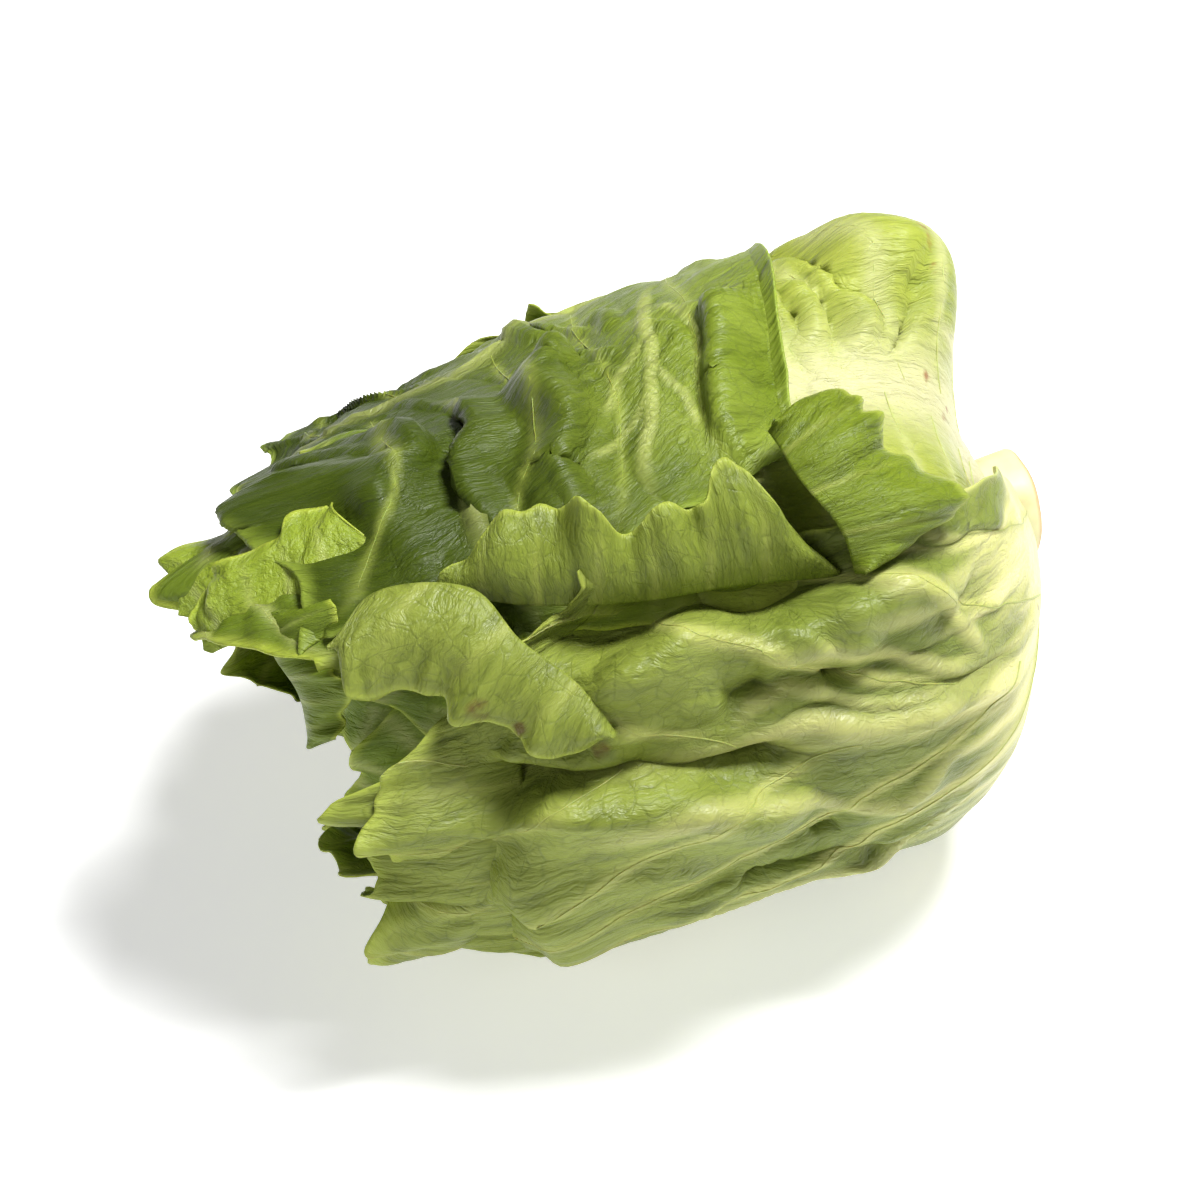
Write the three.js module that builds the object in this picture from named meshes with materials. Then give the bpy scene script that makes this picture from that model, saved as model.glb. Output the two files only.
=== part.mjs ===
// A loose lettuce head lying on its side: a short cut stem with broad leaves wrapped round it.
// Millimetres and degrees. +X points to the cut stem, -Y to the front, +Z up.
import * as THREE from 'three';

// The head is a blunt ball, longer towards the leaf tips and flat where it lies
const HEAD_BUTT = 104;
const HEAD_TIP = 194;
const HEAD_HALF_WIDTH = 106;
const HEAD_TOP = 86;
const HEAD_BOTTOM = 90;
const BUTT_FULLNESS = 2.3;
const TIP_FULLNESS = 2;
const FULLNESS_BLEND = 0.5;
const FLOOR_DROP = 78;
const FLOOR_BLEND = 5;
const LEAST_SLOPE = 0.05;
const LUMP_SHARE = 0.022;
const LUMPS = [
  { wave: new THREE.Vector3(6, -4, 0), phase: 1 },
  { wave: new THREE.Vector3(0, 7, 5), phase: 2 },
];

// Where the head falls short of the ball, by a share of its radius over a breadth in degrees
const HOLLOWS = [
  { polar: 130, azimuth: 124, share: 0.24, breadth: 34 },
  { polar: 158, azimuth: 262, share: 0.26, breadth: 32 },
  { polar: 75, azimuth: 318, share: 0.08, breadth: 32 },
  { polar: 26, azimuth: 55, share: 0.09, breadth: 15 },
];

// One shoulder of the head stands up near the butt, at the top, in its outer layers
const SHOULDER = { polar: 45, azimuth: 106, breadth: 15.5 };
const SHOULDER_RISE = 37;
const SHOULDER_SKIN = 16;
const SHOULDER_CORE = 33;

// The layers of leaves crowd together towards the tip
const TIP_CROWDING = 0.2;
const CROWDING_START = 0.2;

// The stem is a tapered plug, cut flat at the butt and rounded inside the head
const STEM_CUT_RADIUS = 17;
const STEM_TOP_RADIUS = 7;
const STEM_NOSE_RADIUS = 5;
const STEM_NOSE_LENGTH = 7;
const STEM_NOSE_STEP = 4;
const STEM_LENGTH = 66;
const STEM_PROUD = 3;
const STEM_BEVEL = 2;
const STEM_SIDES = 28;
const STEM_CLEARANCE = 0.5;

// A leaf is a thin blade with a thick rib that fades towards the tip
const BLADE_THICKNESS = 1.3;
const RIB_THICKNESS = 4;
const RIB_HALF_WIDTH_ROOT = 13;
const RIB_HALF_WIDTH_TIP = 4;
const RIB_FADE = 1.2;
const RIB_LEAST_GIRTH = 0.15;

// The outer fifth of a leaf, at its sides and its tip, is a free margin that can curl and wave
const EDGE_SHARE = 0.8;
const TIP_SHARE = 0.8;
const EDGE_FULL = 0.3;
const WAVE_START = 0.15;
const WAVE_FULL = 0.4;
const SIDE_ROLL_RADIUS = 9;
const TIP_ROLL_RADIUS = 55;
const TIP_WAVES = 9;
const TIP_WAVE_SWING = 80;
const TIP_SWINGS = 3;
const LEAST_GIRTH = 0.3;
const FLAT_TOLERANCE = 0.9;

// A leaf's outline: where it is widest, where it narrows again and how its tip is rounded
const BELLY_SHARE = 0.5;
const TAPER_SHARE = 0.55;
const ROUNDING_POWER = 2.5;
const PETIOLE_RUN = 14;

// A pleat drifts and sways across the leaf, and swells and sinks, along its way
const PLEAT_MIDDLE = 90;
const PLEAT_DRIFT_RUN = 50;
const PLEAT_SWAY = 2.5;
const PLEAT_SWAYS = { polar: 4, angle: 20 };
const PLEAT_SWELL = 0.3;
const PLEAT_SWELLS = { polar: 7, angle: 31 };

const OUTER_GRID = { rows: 13, columns: 16 };
const FRONT_GRID = { rows: 20, columns: 26 };
const TOP_GRID = { rows: 24, columns: 16 };
const HEART_GRID = { rows: 10, columns: 12 };

const OUTER_GREEN = 0x7f9a45;
const TOP_GREEN = 0x86a648;
const HEART_GREEN = 0xa9c25a;
const STEM_CREAM = 0xe3e2b4;
const LEAF_ROUGHNESS = 0.45;
const STEM_ROUGHNESS = 0.6;

// Each leaf: azimuth from the front upwards, depth below the head's surface, and the polar reach of its tip.
// Low and high are its two sides: the angle each covers at root, belly and tip, and the margin's free strip,
// with the strip's length, how far it curls outwards and how high it is waved.
const LEAVES = [
  {
    name: 'under_leaf', color: OUTER_GREEN, grid: OUTER_GRID,
    azimuth: 264, sweep: 0, depth: 0, reach: 108,
    low: { root: 40, belly: 25, tip: 22, rounding: 24, length: 8, curl: 8, ruffle: 0.2 },
    high: { root: 38, belly: 36, tip: 30, rounding: 24, length: 8, curl: 4, ruffle: 1 },
    tip: { length: 22, curl: 0, ruffle: 1.5 }, waves: 4, phase: 0.4,
  },
  {
    name: 'front_leaf', color: OUTER_GREEN, grid: FRONT_GRID,
    azimuth: 10, sweep: 2, depth: 5, reach: 131,
    low: { root: 58, belly: 56, tip: 46, rounding: 12, length: 12, curl: 4, ruffle: 0.5 },
    high: { root: 46, belly: 33, tip: 38, rounding: 6, length: 20, curl: 55, ruffle: 6 },
    tip: { length: 46, curl: 30, ruffle: 4 }, waves: 6, phase: 1.1,
    flaps: [
      { at: 0.43, width: 0.06, length: 20, curl: -12, roll: 10 },
      { at: 0.28, width: 0.07, length: -18, curl: -20, roll: 0 },
    ],
    pleats: [
      { angle: 31, height: 11, width: 6, drift: 4, start: 60, full: 90 },
      { angle: 23, height: -6, width: 4, drift: 2, start: 70, full: 95 },
      { angle: 16, height: 11, width: 4.5, drift: 3, start: 60, full: 85 },
      { angle: 1, height: 3.5, width: 5, drift: -3, start: 30, full: 60 },
      { angle: -22, height: 8, width: 8, drift: 7, start: 50, full: 90 },
      { angle: 22, height: 13, width: 11, drift: 0, start: 112, full: 145 },
      { angle: -40, height: 2, width: 19, drift: 0, start: 100, full: 132 },
    ],
  },
  {
    name: 'back_leaf', color: OUTER_GREEN, grid: OUTER_GRID,
    azimuth: 206, sweep: -4, depth: 5, reach: 116,
    low: { root: 54, belly: 44, tip: 34, rounding: 30, length: 12, curl: 6, ruffle: 1 },
    high: { root: 46, belly: 40, tip: 32, rounding: 14, length: 10, curl: 0, ruffle: 0.2 },
    tip: { length: 26, curl: 8, ruffle: 2.5 }, waves: 5, phase: 2.3,
    pleats: [
      { angle: -22, height: 7, width: 8, drift: 3, start: 50, full: 85 },
      { angle: 2, height: 3, width: 6, drift: 0, start: 30, full: 60 },
      { angle: 5, height: 4, width: 7, drift: -4, start: 55, full: 90 },
    ],
  },
  {
    name: 'top_leaf', color: TOP_GREEN, grid: TOP_GRID,
    azimuth: 190, sweep: -90, depth: 10, reach: 140, petiole: 78,
    low: { root: 6, belly: 58, tip: 50, rounding: 14, length: 9, curl: 18, ruffle: 1.2 },
    high: { root: 24, belly: 54, tip: 46, rounding: 18, length: 8, curl: 4, ruffle: 1.2 },
    tip: { length: 24, curl: 6, ruffle: 2.5 }, waves: 4, phase: 0.2,
    pleats: [{ angle: 1, height: 3, width: 6, drift: 0, start: 60, full: 80 }],
  },
  {
    name: 'lower_leaf', color: OUTER_GREEN, grid: OUTER_GRID,
    azimuth: 312, sweep: 0, depth: 10, reach: 148,
    low: { root: 52, belly: 56, tip: 46, rounding: 26, length: 8, curl: 0, ruffle: 1 },
    high: { root: 46, belly: 50, tip: 46, rounding: 26, length: 8, curl: 0, ruffle: 1 },
    tip: { length: 30, curl: 8, ruffle: 3 }, waves: 5, phase: 1.7,
  },
  {
    name: 'shoulder_leaf', color: TOP_GREEN, grid: OUTER_GRID,
    azimuth: 58, sweep: 22, depth: 15, reach: 158,
    low: { root: 50, belly: 50, tip: 44, rounding: 20, length: 8, curl: 0, ruffle: 1 },
    high: { root: 66, belly: 56, tip: 44, rounding: 20, length: 8, curl: 0, ruffle: 1 },
    tip: { length: 34, curl: 2, ruffle: 3 }, waves: 4, phase: 2.9,
  },
  {
    name: 'rear_leaf', color: OUTER_GREEN, grid: OUTER_GRID,
    azimuth: 214, sweep: -10, depth: 15, reach: 154,
    low: { root: 50, belly: 54, tip: 46, rounding: 24, length: 8, curl: 0, ruffle: 1 },
    high: { root: 50, belly: 54, tip: 46, rounding: 24, length: 8, curl: 0, ruffle: 1 },
    tip: { length: 28, curl: 6, ruffle: 3 }, waves: 5, phase: 0.9,
  },
];

// The heart: pairs of paler leaves, each pair deeper and turned on from the last
const HEART_PAIRS = 7;
const HEART_FIRST_DEPTH = 21;
const HEART_DEPTH_STEP = 6.5;
const HEART_FIRST_AZIMUTH = 82;
const HEART_TURN = 68;
const HEART_FIRST_REACH = 154;
const HEART_REACH_STEP = 3;
const HEART_HALF_STEP = 4;
const HEART_SIDE = { root: 74, belly: 74, tip: 66, rounding: 14, length: 4, curl: 0, ruffle: 0.8 };
const HEART_TIP = { length: 18, curl: 0, ruffle: 1.5 };
const HEART_WAVES = 5;

const DEGREE = Math.PI / 180;

function smoothstep(from, to, x) {
  const t = THREE.MathUtils.clamp((x - from) / (to - from), 0, 1);
  return t * t * (3 - 2 * t);
}

function bell(x) {
  return Math.exp(-x * x);
}

function sine(degrees) {
  return Math.sin(degrees * DEGREE);
}

// Unit vector at a polar angle from the butt and an azimuth from the front upwards
function direction(polar, azimuth) {
  const side = sine(polar);
  return new THREE.Vector3(Math.cos(polar * DEGREE), -side * Math.cos(azimuth * DEGREE), side * sine(azimuth));
}

// The share of a bump or a hollow at a place: 1 in its middle, fading over its breadth
function spotShare(way, spot) {
  return bell(way.angleTo(direction(spot.polar, spot.azimuth)) / DEGREE / spot.breadth);
}

// Distance from the head's centre to its outer surface, which the floor flattens below
function headRadius(way) {
  const along = Math.abs(way.x) / (way.x > 0 ? HEAD_BUTT : HEAD_TIP);
  const across = Math.abs(way.y) / HEAD_HALF_WIDTH;
  const upright = Math.abs(way.z) / (way.z > 0 ? HEAD_TOP : HEAD_BOTTOM);
  const blunt = smoothstep(-FULLNESS_BLEND, FULLNESS_BLEND, way.x);
  const full = THREE.MathUtils.lerp(TIP_FULLNESS, BUTT_FULLNESS, blunt);
  const smooth = (along ** full + across ** full + upright ** full) ** (-1 / full);
  const swell = LUMPS.reduce((sum, lump) => sum + Math.sin(lump.wave.dot(way) + lump.phase), 0);
  const sunk = HOLLOWS.reduce((sum, hollow) => sum + hollow.share * spotShare(way, hollow), 0);
  const round = (1 + LUMP_SHARE * swell) * (1 - sunk) * smooth;
  if (way.z >= -LEAST_SLOPE) return round;
  const flat = FLOOR_DROP / -way.z;
  return -FLOOR_BLEND * Math.log(Math.exp(-round / FLOOR_BLEND) + Math.exp(-flat / FLOOR_BLEND));
}

// Distance from the head's centre to a layer of leaves at a depth below the surface
function layerRadius(way, depth) {
  const shrink = (depth / HEAD_BUTT) * (1 - TIP_CROWDING * smoothstep(CROWDING_START, 1, -way.x));
  const rise = SHOULDER_RISE * (1 - smoothstep(SHOULDER_SKIN, SHOULDER_CORE, depth));
  return headRadius(way) * (1 - shrink) + rise * spotShare(way, SHOULDER);
}

// A strip bent outwards: how far it runs along the surface and how far it stands off it
function bend(length, radius, curl) {
  const turn = Math.min(length / radius, curl * DEGREE);
  const rest = length - turn * radius;
  return {
    along: radius * Math.sin(turn) + rest * Math.cos(turn),
    off: radius * (1 - Math.cos(turn)) + rest * Math.sin(turn),
  };
}

// The angle that one side of a leaf covers at share u of its length: a petiole stays narrow to its end
function spreadAt(leaf, side, u) {
  const open = leaf.petiole
    ? smoothstep(leaf.petiole - PETIOLE_RUN, leaf.petiole + PETIOLE_RUN, u * leaf.reach)
    : smoothstep(0, BELLY_SHARE, u);
  const blade = THREE.MathUtils.lerp(side.root, side.belly, open);
  return THREE.MathUtils.lerp(blade, side.tip, smoothstep(TAPER_SHARE, 1, u));
}

// A fold that runs along the leaf and grows from its start
function pleatHeight(pleat, angle, polar) {
  const drift = (pleat.drift * (polar - PLEAT_MIDDLE)) / PLEAT_DRIFT_RUN;
  const sway = PLEAT_SWAY * sine(PLEAT_SWAYS.polar * polar + PLEAT_SWAYS.angle * pleat.angle);
  const swell = 1 + PLEAT_SWELL * sine(PLEAT_SWELLS.polar * polar + PLEAT_SWELLS.angle * pleat.angle);
  const across = (angle - pleat.angle - drift - sway) / pleat.width;
  return pleat.height * swell * smoothstep(pleat.start, pleat.full, polar) * bell(across);
}

// Radius of the stem at a depth below the butt
function stemRadius(depth) {
  const share = THREE.MathUtils.clamp(depth / STEM_LENGTH, 0, 1);
  return THREE.MathUtils.lerp(STEM_CUT_RADIUS, STEM_TOP_RADIUS, share);
}

// The polar angle where a leaf leaves the stem
function rootPolar(leaf) {
  return Math.asin((stemRadius(leaf.depth) + STEM_CLEARANCE) / (HEAD_BUTT - leaf.depth)) / DEGREE;
}

// The free strip of a leaf's side margin, which a flap on the high side makes longer and a notch shorter
function sideStrip(leaf, side, u, v, edge) {
  const strip = { length: side.length, curl: side.curl, roll: SIDE_ROLL_RADIUS };
  for (const flap of v > 0 ? leaf.flaps ?? [] : []) {
    const share = bell((u - flap.at) / flap.width);
    for (const size of ['length', 'curl', 'roll']) strip[size] += flap[size] * share;
  }
  return bend(strip.length * edge * smoothstep(0, EDGE_FULL, u), strip.roll, strip.curl);
}

// A point of a leaf's surface: u runs from root to tip, v from its low margin to its high one
function leafPoint(leaf, u, v) {
  const side = v < 0 ? leaf.low : leaf.high;
  const across = THREE.MathUtils.clamp(v / EDGE_SHARE, -1, 1);
  const edge = Math.max(0, Math.abs(v) - EDGE_SHARE) / (1 - EDGE_SHARE);
  const along = Math.min(u / TIP_SHARE, 1);
  const end = Math.max(0, u - TIP_SHARE) / (1 - TIP_SHARE);
  const strip = sideStrip(leaf, side, u, v, edge);
  const tip = bend(leaf.tip.length * end, TIP_ROLL_RADIUS, leaf.tip.curl);

  const root = rootPolar(leaf);
  const reach = leaf.reach - side.rounding * Math.abs(across) ** ROUNDING_POWER;
  const polar = root + (reach - root) * along + tip.along / HEAD_TIP / DEGREE;
  const girth = HEAD_HALF_WIDTH * Math.max(sine(polar), LEAST_GIRTH);
  const angle = spreadAt(leaf, side, along) * across + (Math.sign(v) * strip.along) / girth / DEGREE;
  const azimuth = leaf.azimuth + leaf.sweep * along * (2 - along) + angle;
  const way = direction(polar, azimuth);

  const pleats = leaf.pleats ?? [];
  const folds = pleats.reduce((sum, pleat) => sum + pleatHeight(pleat, angle, polar), 0);
  const sideWave = Math.sin(leaf.waves * 2 * Math.PI * u + leaf.phase + Math.sign(v));
  const tipWave = sine(TIP_WAVES * azimuth + TIP_WAVE_SWING * sine(TIP_SWINGS * azimuth));
  const sideRuffle = side.ruffle * edge * smoothstep(WAVE_START, WAVE_FULL, u) * sideWave;
  const tipRuffle = leaf.tip.ruffle * end * tipWave;

  const off = strip.off + tip.off + folds + sideRuffle + tipRuffle;
  const point = way.multiplyScalar(layerRadius(way, leaf.depth) + off);
  point.z = Math.max(point.z, BLADE_THICKNESS / 2 - FLOOR_DROP);
  return point;
}

// Outward normal of a leaf's surface, from two short steps along it
function leafNormal(leaf, u, v) {
  const step = 0.01;
  const down = leafPoint(leaf, Math.min(u + step, 1), v).sub(leafPoint(leaf, Math.max(u - step, 0), v));
  const over = leafPoint(leaf, u, Math.min(v + step, 1)).sub(leafPoint(leaf, u, Math.max(v - step, -1)));
  return over.cross(down).normalize();
}

// How far the rib raises the outer face of the blade
function ribHeight(leaf, u, v) {
  const ribHalf = THREE.MathUtils.lerp(RIB_HALF_WIDTH_ROOT, RIB_HALF_WIDTH_TIP, u);
  const girth = HEAD_HALF_WIDTH * Math.max(sine(u * leaf.reach), RIB_LEAST_GIRTH);
  const width = spreadAt(leaf, v < 0 ? leaf.low : leaf.high, u) * DEGREE * girth;
  return (RIB_THICKNESS - BLADE_THICKNESS) * bell((v * width) / ribHalf) * (1 - u) ** RIB_FADE;
}

// A closed blade: the same grid of triangles on both faces, joined round the rim
function leafGeometry(leaf) {
  const { rows, columns } = leaf.grid;
  const outer = [];
  const inner = [];
  for (let i = 0; i <= rows; i++)
    for (let j = 0; j <= columns; j++) {
      const u = i / rows;
      const v = (2 * j) / columns - 1;
      const point = leafPoint(leaf, u, v);
      const normal = leafNormal(leaf, u, v);
      const outside = point.clone().addScaledVector(normal, BLADE_THICKNESS / 2 + ribHeight(leaf, u, v));
      if (outside.z < FLAT_TOLERANCE - FLOOR_DROP) outside.z = -FLOOR_DROP;
      outer.push(outside);
      inner.push(point.clone().addScaledVector(normal, -BLADE_THICKNESS / 2));
    }
  const positions = [...outer, ...inner].flatMap((p) => [p.x, p.y, p.z]);
  const at = (i, j) => i * (columns + 1) + j;
  const under = outer.length;
  const faces = [];
  for (let i = 0; i < rows; i++)
    for (let j = 0; j < columns; j++) {
      const [a, b, c, d] = [at(i, j), at(i, j + 1), at(i + 1, j + 1), at(i + 1, j)];
      faces.push(a, b, c, a, c, d);
      faces.push(under + a, under + c, under + b, under + a, under + d, under + c);
    }
  const rim = [];
  for (let j = 0; j < columns; j++) rim.push([at(0, j), at(0, j + 1)], [at(rows, j + 1), at(rows, j)]);
  for (let i = 0; i < rows; i++) rim.push([at(i + 1, 0), at(i, 0)], [at(i, columns), at(i + 1, columns)]);
  for (const [a, b] of rim) faces.push(a, under + b, b, a, under + a, under + b);
  const geometry = new THREE.BufferGeometry();
  geometry.setAttribute('position', new THREE.Float32BufferAttribute(positions, 3));
  geometry.setIndex(faces);
  geometry.computeVertexNormals();
  return geometry;
}

// The stem, turned about its own axis and laid along X
function stemGeometry() {
  const cut = HEAD_BUTT + STEM_PROUD;
  const top = HEAD_BUTT - STEM_LENGTH;
  const profile = [
    new THREE.Vector2(0, top - STEM_NOSE_LENGTH),
    new THREE.Vector2(STEM_NOSE_RADIUS, top - STEM_NOSE_STEP),
    new THREE.Vector2(STEM_TOP_RADIUS, top),
    new THREE.Vector2(STEM_CUT_RADIUS, cut - STEM_BEVEL),
    new THREE.Vector2(STEM_CUT_RADIUS - STEM_BEVEL, cut),
    new THREE.Vector2(0, cut),
  ];
  return new THREE.LatheGeometry(profile, STEM_SIDES).rotateZ(-Math.PI / 2);
}

// The leaves of the heart, two to a turn
function heartLeaves() {
  const leaves = [];
  for (let pair = 0; pair < HEART_PAIRS; pair++)
    for (const half of [0, 1])
      leaves.push({
        name: `heart_leaf_${2 * pair + half + 1}`, color: HEART_GREEN, grid: HEART_GRID,
        azimuth: HEART_FIRST_AZIMUTH + pair * HEART_TURN + half * 180, sweep: 0,
        depth: HEART_FIRST_DEPTH + pair * HEART_DEPTH_STEP,
        reach: HEART_FIRST_REACH + pair * HEART_REACH_STEP - half * HEART_HALF_STEP,
        low: HEART_SIDE, high: HEART_SIDE, tip: HEART_TIP, waves: HEART_WAVES, phase: pair + half / 2,
      });
  return leaves;
}

function piece(name, geometry, color, roughness) {
  const mesh = new THREE.Mesh(geometry, new THREE.MeshStandardMaterial({ color, roughness, metalness: 0 }));
  mesh.name = name;
  return mesh;
}

const head = new THREE.Group();
head.add(piece('stem', stemGeometry(), STEM_CREAM, STEM_ROUGHNESS));
for (const leaf of [...LEAVES, ...heartLeaves()])
  head.add(piece(leaf.name, leafGeometry(leaf), leaf.color, LEAF_ROUGHNESS));

// The origin is under the middle of the head, on the surface that it lies on
const box = new THREE.Box3().setFromObject(head);
const middle = box.getCenter(new THREE.Vector3());
head.position.set(-middle.x, -middle.y, -box.min.z);

const lettuce = new THREE.Group();
lettuce.add(head);
export default lettuce;
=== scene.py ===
"""A loose lettuce head lying on its side: crumpled leaves round a short cut stem, in a plain studio."""

import logging
import math
from dataclasses import dataclass, field
from enum import Enum, IntEnum
from functools import cache

import bpy
import numpy as np
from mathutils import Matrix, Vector


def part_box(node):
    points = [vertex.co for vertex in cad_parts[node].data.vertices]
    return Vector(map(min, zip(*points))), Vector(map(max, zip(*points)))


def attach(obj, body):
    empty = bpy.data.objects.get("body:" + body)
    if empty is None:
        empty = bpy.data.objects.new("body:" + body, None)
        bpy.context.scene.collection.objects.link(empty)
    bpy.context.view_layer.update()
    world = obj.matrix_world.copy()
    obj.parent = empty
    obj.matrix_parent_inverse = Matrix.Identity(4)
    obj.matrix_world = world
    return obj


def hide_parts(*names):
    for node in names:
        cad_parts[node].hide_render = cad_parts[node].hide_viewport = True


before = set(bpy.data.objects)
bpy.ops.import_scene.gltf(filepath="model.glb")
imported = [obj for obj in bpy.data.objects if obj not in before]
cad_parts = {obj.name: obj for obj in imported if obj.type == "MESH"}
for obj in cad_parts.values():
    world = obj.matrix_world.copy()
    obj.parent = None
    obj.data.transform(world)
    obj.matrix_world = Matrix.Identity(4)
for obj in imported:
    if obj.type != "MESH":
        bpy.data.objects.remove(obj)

logging.basicConfig(level=logging.INFO, format="%(message)s")
LOG = logging.getLogger("lettuce")

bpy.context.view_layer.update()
MILLIMETRE = 0.001

# The free margin of a leaf, as shares of its half-width and of its length
EDGE_SHARE = 0.8
TIP_SHARE = 0.8
SIDE_ROLL_RADIUS = 9.0
TIP_ROLL_RADIUS = 55.0
LEAST_GIRTH = 0.3

# The head's underside is flat from this drop on, as a share of the distance from its centre
LEAST_DROP = 0.05

# The stem's radius at its cut and inside the head, its length and how far it stands out of the butt, in mm
STEM_CUT_RADIUS = 17.0
STEM_TOP_RADIUS = 7.0
STEM_LENGTH = 66.0
STEM_PROUD = 3.0
STEM_GAP = 0.5

# Folds sway from their paths by this much over this length, in mm
FOLD_SWAY = 5.0
FOLD_SWAY_LENGTH = 30.0

# Side veins sway in the same way, and a vein's half-width on a blade and on a lobe, in mm
VEIN_SWAY = 5.0
VEIN_SWAY_LENGTH = 45.0
VEIN_WIDTH = 1.5
LOBE_VEIN_WIDTH = 1.3

# The half-width of a rib at the leaf's tip, and where the first side vein leaves it, in mm
RIB_END = 2.0
FIRST_VEIN = 6.0

# A petiole opens into its blade from this many degrees before its end to as many after it
PETIOLE_BLEND = 14.0

# How far above the floor a leaf's middle and its inner face stay, in mm
MIDDLE_LIFT = 0.65
INNER_LIFT = 0.3

# How often a vein's place is refined, and the fewest points that make a vein
VEIN_STEPS = 6
LEAST_VEIN_POINTS = 6

# The swellings that run through all the leaves have one seed
SWELLING_SEED = 77

# One degree seen from the head's centre is about this many millimetres on its surface
SURFACE_DEGREE = 1.85

# The leaf plan, in the UV map, is drawn at a hundred millimetres to one unit
PLAN_UNIT = 100.0
PLAN_MAP = "leaf_plan"

# The marks that a leaf's points carry for its skin
MARKS = ("pale", "margin", "vein", "inside", "rust", "tip")

# The mark of the stem's cut face
STAIN = "cut"

WHITE = (1.0, 1.0, 1.0, 1.0)

# The noise repeats after this many cells
NOISE_CELLS = 256

# How long the frill of a side margin, a tip and a lobe is, in mm
SIDE_FRILL_LENGTH = 9.0
TIP_FRILL_LENGTH = 8.0
LOBE_FRILL_LENGTH = 9.0
LOBE_FINE_FRILL_LENGTH = 4.5

# The waves of a margin drift by this angle in radians over this length in mm
WAVE_DRIFT = 1.4
WAVE_DRIFT_LENGTH = 60.0

# The wavelengths, across a leaf and along it, of its crumples and of the ragged end of its pale base, in mm
CRUMPLE_LENGTHS = (7.0, 16.0)
FINE_CRUMPLE_LENGTHS = (3.6, 8.0)
RIDGE_LENGTHS = (16.0, 45.0)
RAGGED_LENGTHS = (9.0, 50.0)
FINE_RAGGED_LENGTHS = (4.0, 30.0)

# The wavelengths of a lobe's crumples, along its edge and from its base to its edge, in mm
LOBE_CRUMPLE_LENGTHS = (14.0, 20.0)
LOBE_FINE_CRUMPLE_LENGTHS = (6.0, 12.0)

# Where small creases may lie, as shares of the leaf's length and width
CREASE_ROWS = (0.3, 0.95)
CREASE_COLUMNS = (0.08, 0.92)

# How creases vary: their turn in degrees, their half-widths in mm, the rest as shares of their usual size
CREASE_TURN_SPREAD = 14.0
CREASE_WIDTHS = (1.7, 4.5)
CREASE_SIZES = (0.35, 1.0)
CREASE_HEIGHTS = (0.5, 1.5)
CREASE_SIGNS = (-0.7, 1.0, 1.0)
CREASE_BOW = 0.12
CREASE_LEAN = 0.6

# A vein's tube starts this far from the middle of the rib, in mm, and ends at a share of the way to the edge
TUBE_START = 2.0
TUBE_STOP = 0.86

# The radius of a tube at its end, and how much more it has at its start, in mm
TUBE_END_RADIUS = 0.15
TUBE_SWELL = 0.55

# How finely a folded lobe is divided, along its edge and from its base to its edge
LOBE_ROWS = 90
LOBE_COLUMNS = 36


def smoothstep(start: float, stop: float, x: np.ndarray) -> np.ndarray:
    """An even rise from 0 at start to 1 at stop."""
    share = np.clip((x - start) / (stop - start), 0.0, 1.0)
    return share * share * (3.0 - 2.0 * share)


def bell(x: np.ndarray) -> np.ndarray:
    """A bell curve of height 1."""
    return np.exp(-x * x)


def sine(degrees: np.ndarray) -> np.ndarray:
    """The sine of an angle in degrees."""
    return np.sin(np.radians(degrees))


def lerp(a: np.ndarray, b: np.ndarray, share: np.ndarray) -> np.ndarray:
    """The mean of a and b, weighted towards b by share."""
    return a + (b - a) * share


def direction(polar: np.ndarray, azimuth: np.ndarray) -> np.ndarray:
    """Unit vectors at a polar angle from the butt and an azimuth from the front upwards, in degrees."""
    side, turn = sine(polar), np.radians(azimuth)
    return np.stack([np.cos(np.radians(polar)), -side * np.cos(turn), side * np.sin(turn)], -1)


def spread_out(polar: np.ndarray, azimuth: np.ndarray) -> tuple[np.ndarray, np.ndarray]:
    """Distances over the head from the butt and round it, in mm, of places on its surface."""
    return polar * SURFACE_DEGREE, azimuth * np.maximum(sine(polar), LEAST_GIRTH) * SURFACE_DEGREE


def bend(length: np.ndarray, radius: float, curl: np.ndarray) -> tuple[np.ndarray, np.ndarray]:
    """A strip that rolls outwards and then runs straight.

    Args:
        length: The strip's length in mm.
        radius: The radius of its roll in mm.
        curl: The angle it turns through, in degrees.

    Returns:
        How far it runs along the surface and how far it stands off it, in mm.
    """
    turn = np.minimum(length / radius, np.radians(curl))
    rest = length - turn * radius
    along = radius * np.sin(turn) + rest * np.cos(turn)
    off = radius * (1.0 - np.cos(turn)) + rest * np.sin(turn)
    return along, off


def curve(points: tuple[tuple[float, ...], ...], share: np.ndarray) -> np.ndarray:
    """Places on a smooth curve through points.

    Args:
        points: The points that the curve passes through.
        share: Shares of its length, from 0 to 1.

    Returns:
        The places, with the points' numbers along a last axis.
    """
    knots = np.array(points, dtype=float)
    knots = np.concatenate([2.0 * knots[:1] - knots[1:2], knots, 2.0 * knots[-1:] - knots[-2:-1]])
    place = share * (len(points) - 1)
    leg = np.clip(place.astype(int), 0, len(points) - 2)
    k = (place - leg)[..., None]
    a, b, c, d = (knots[leg + i] for i in range(4))
    return b + 0.5 * k * (c - a + k * (2.0 * a - 5.0 * b + 4.0 * c - d + k * (3.0 * (b - c) + d - a)))


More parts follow.
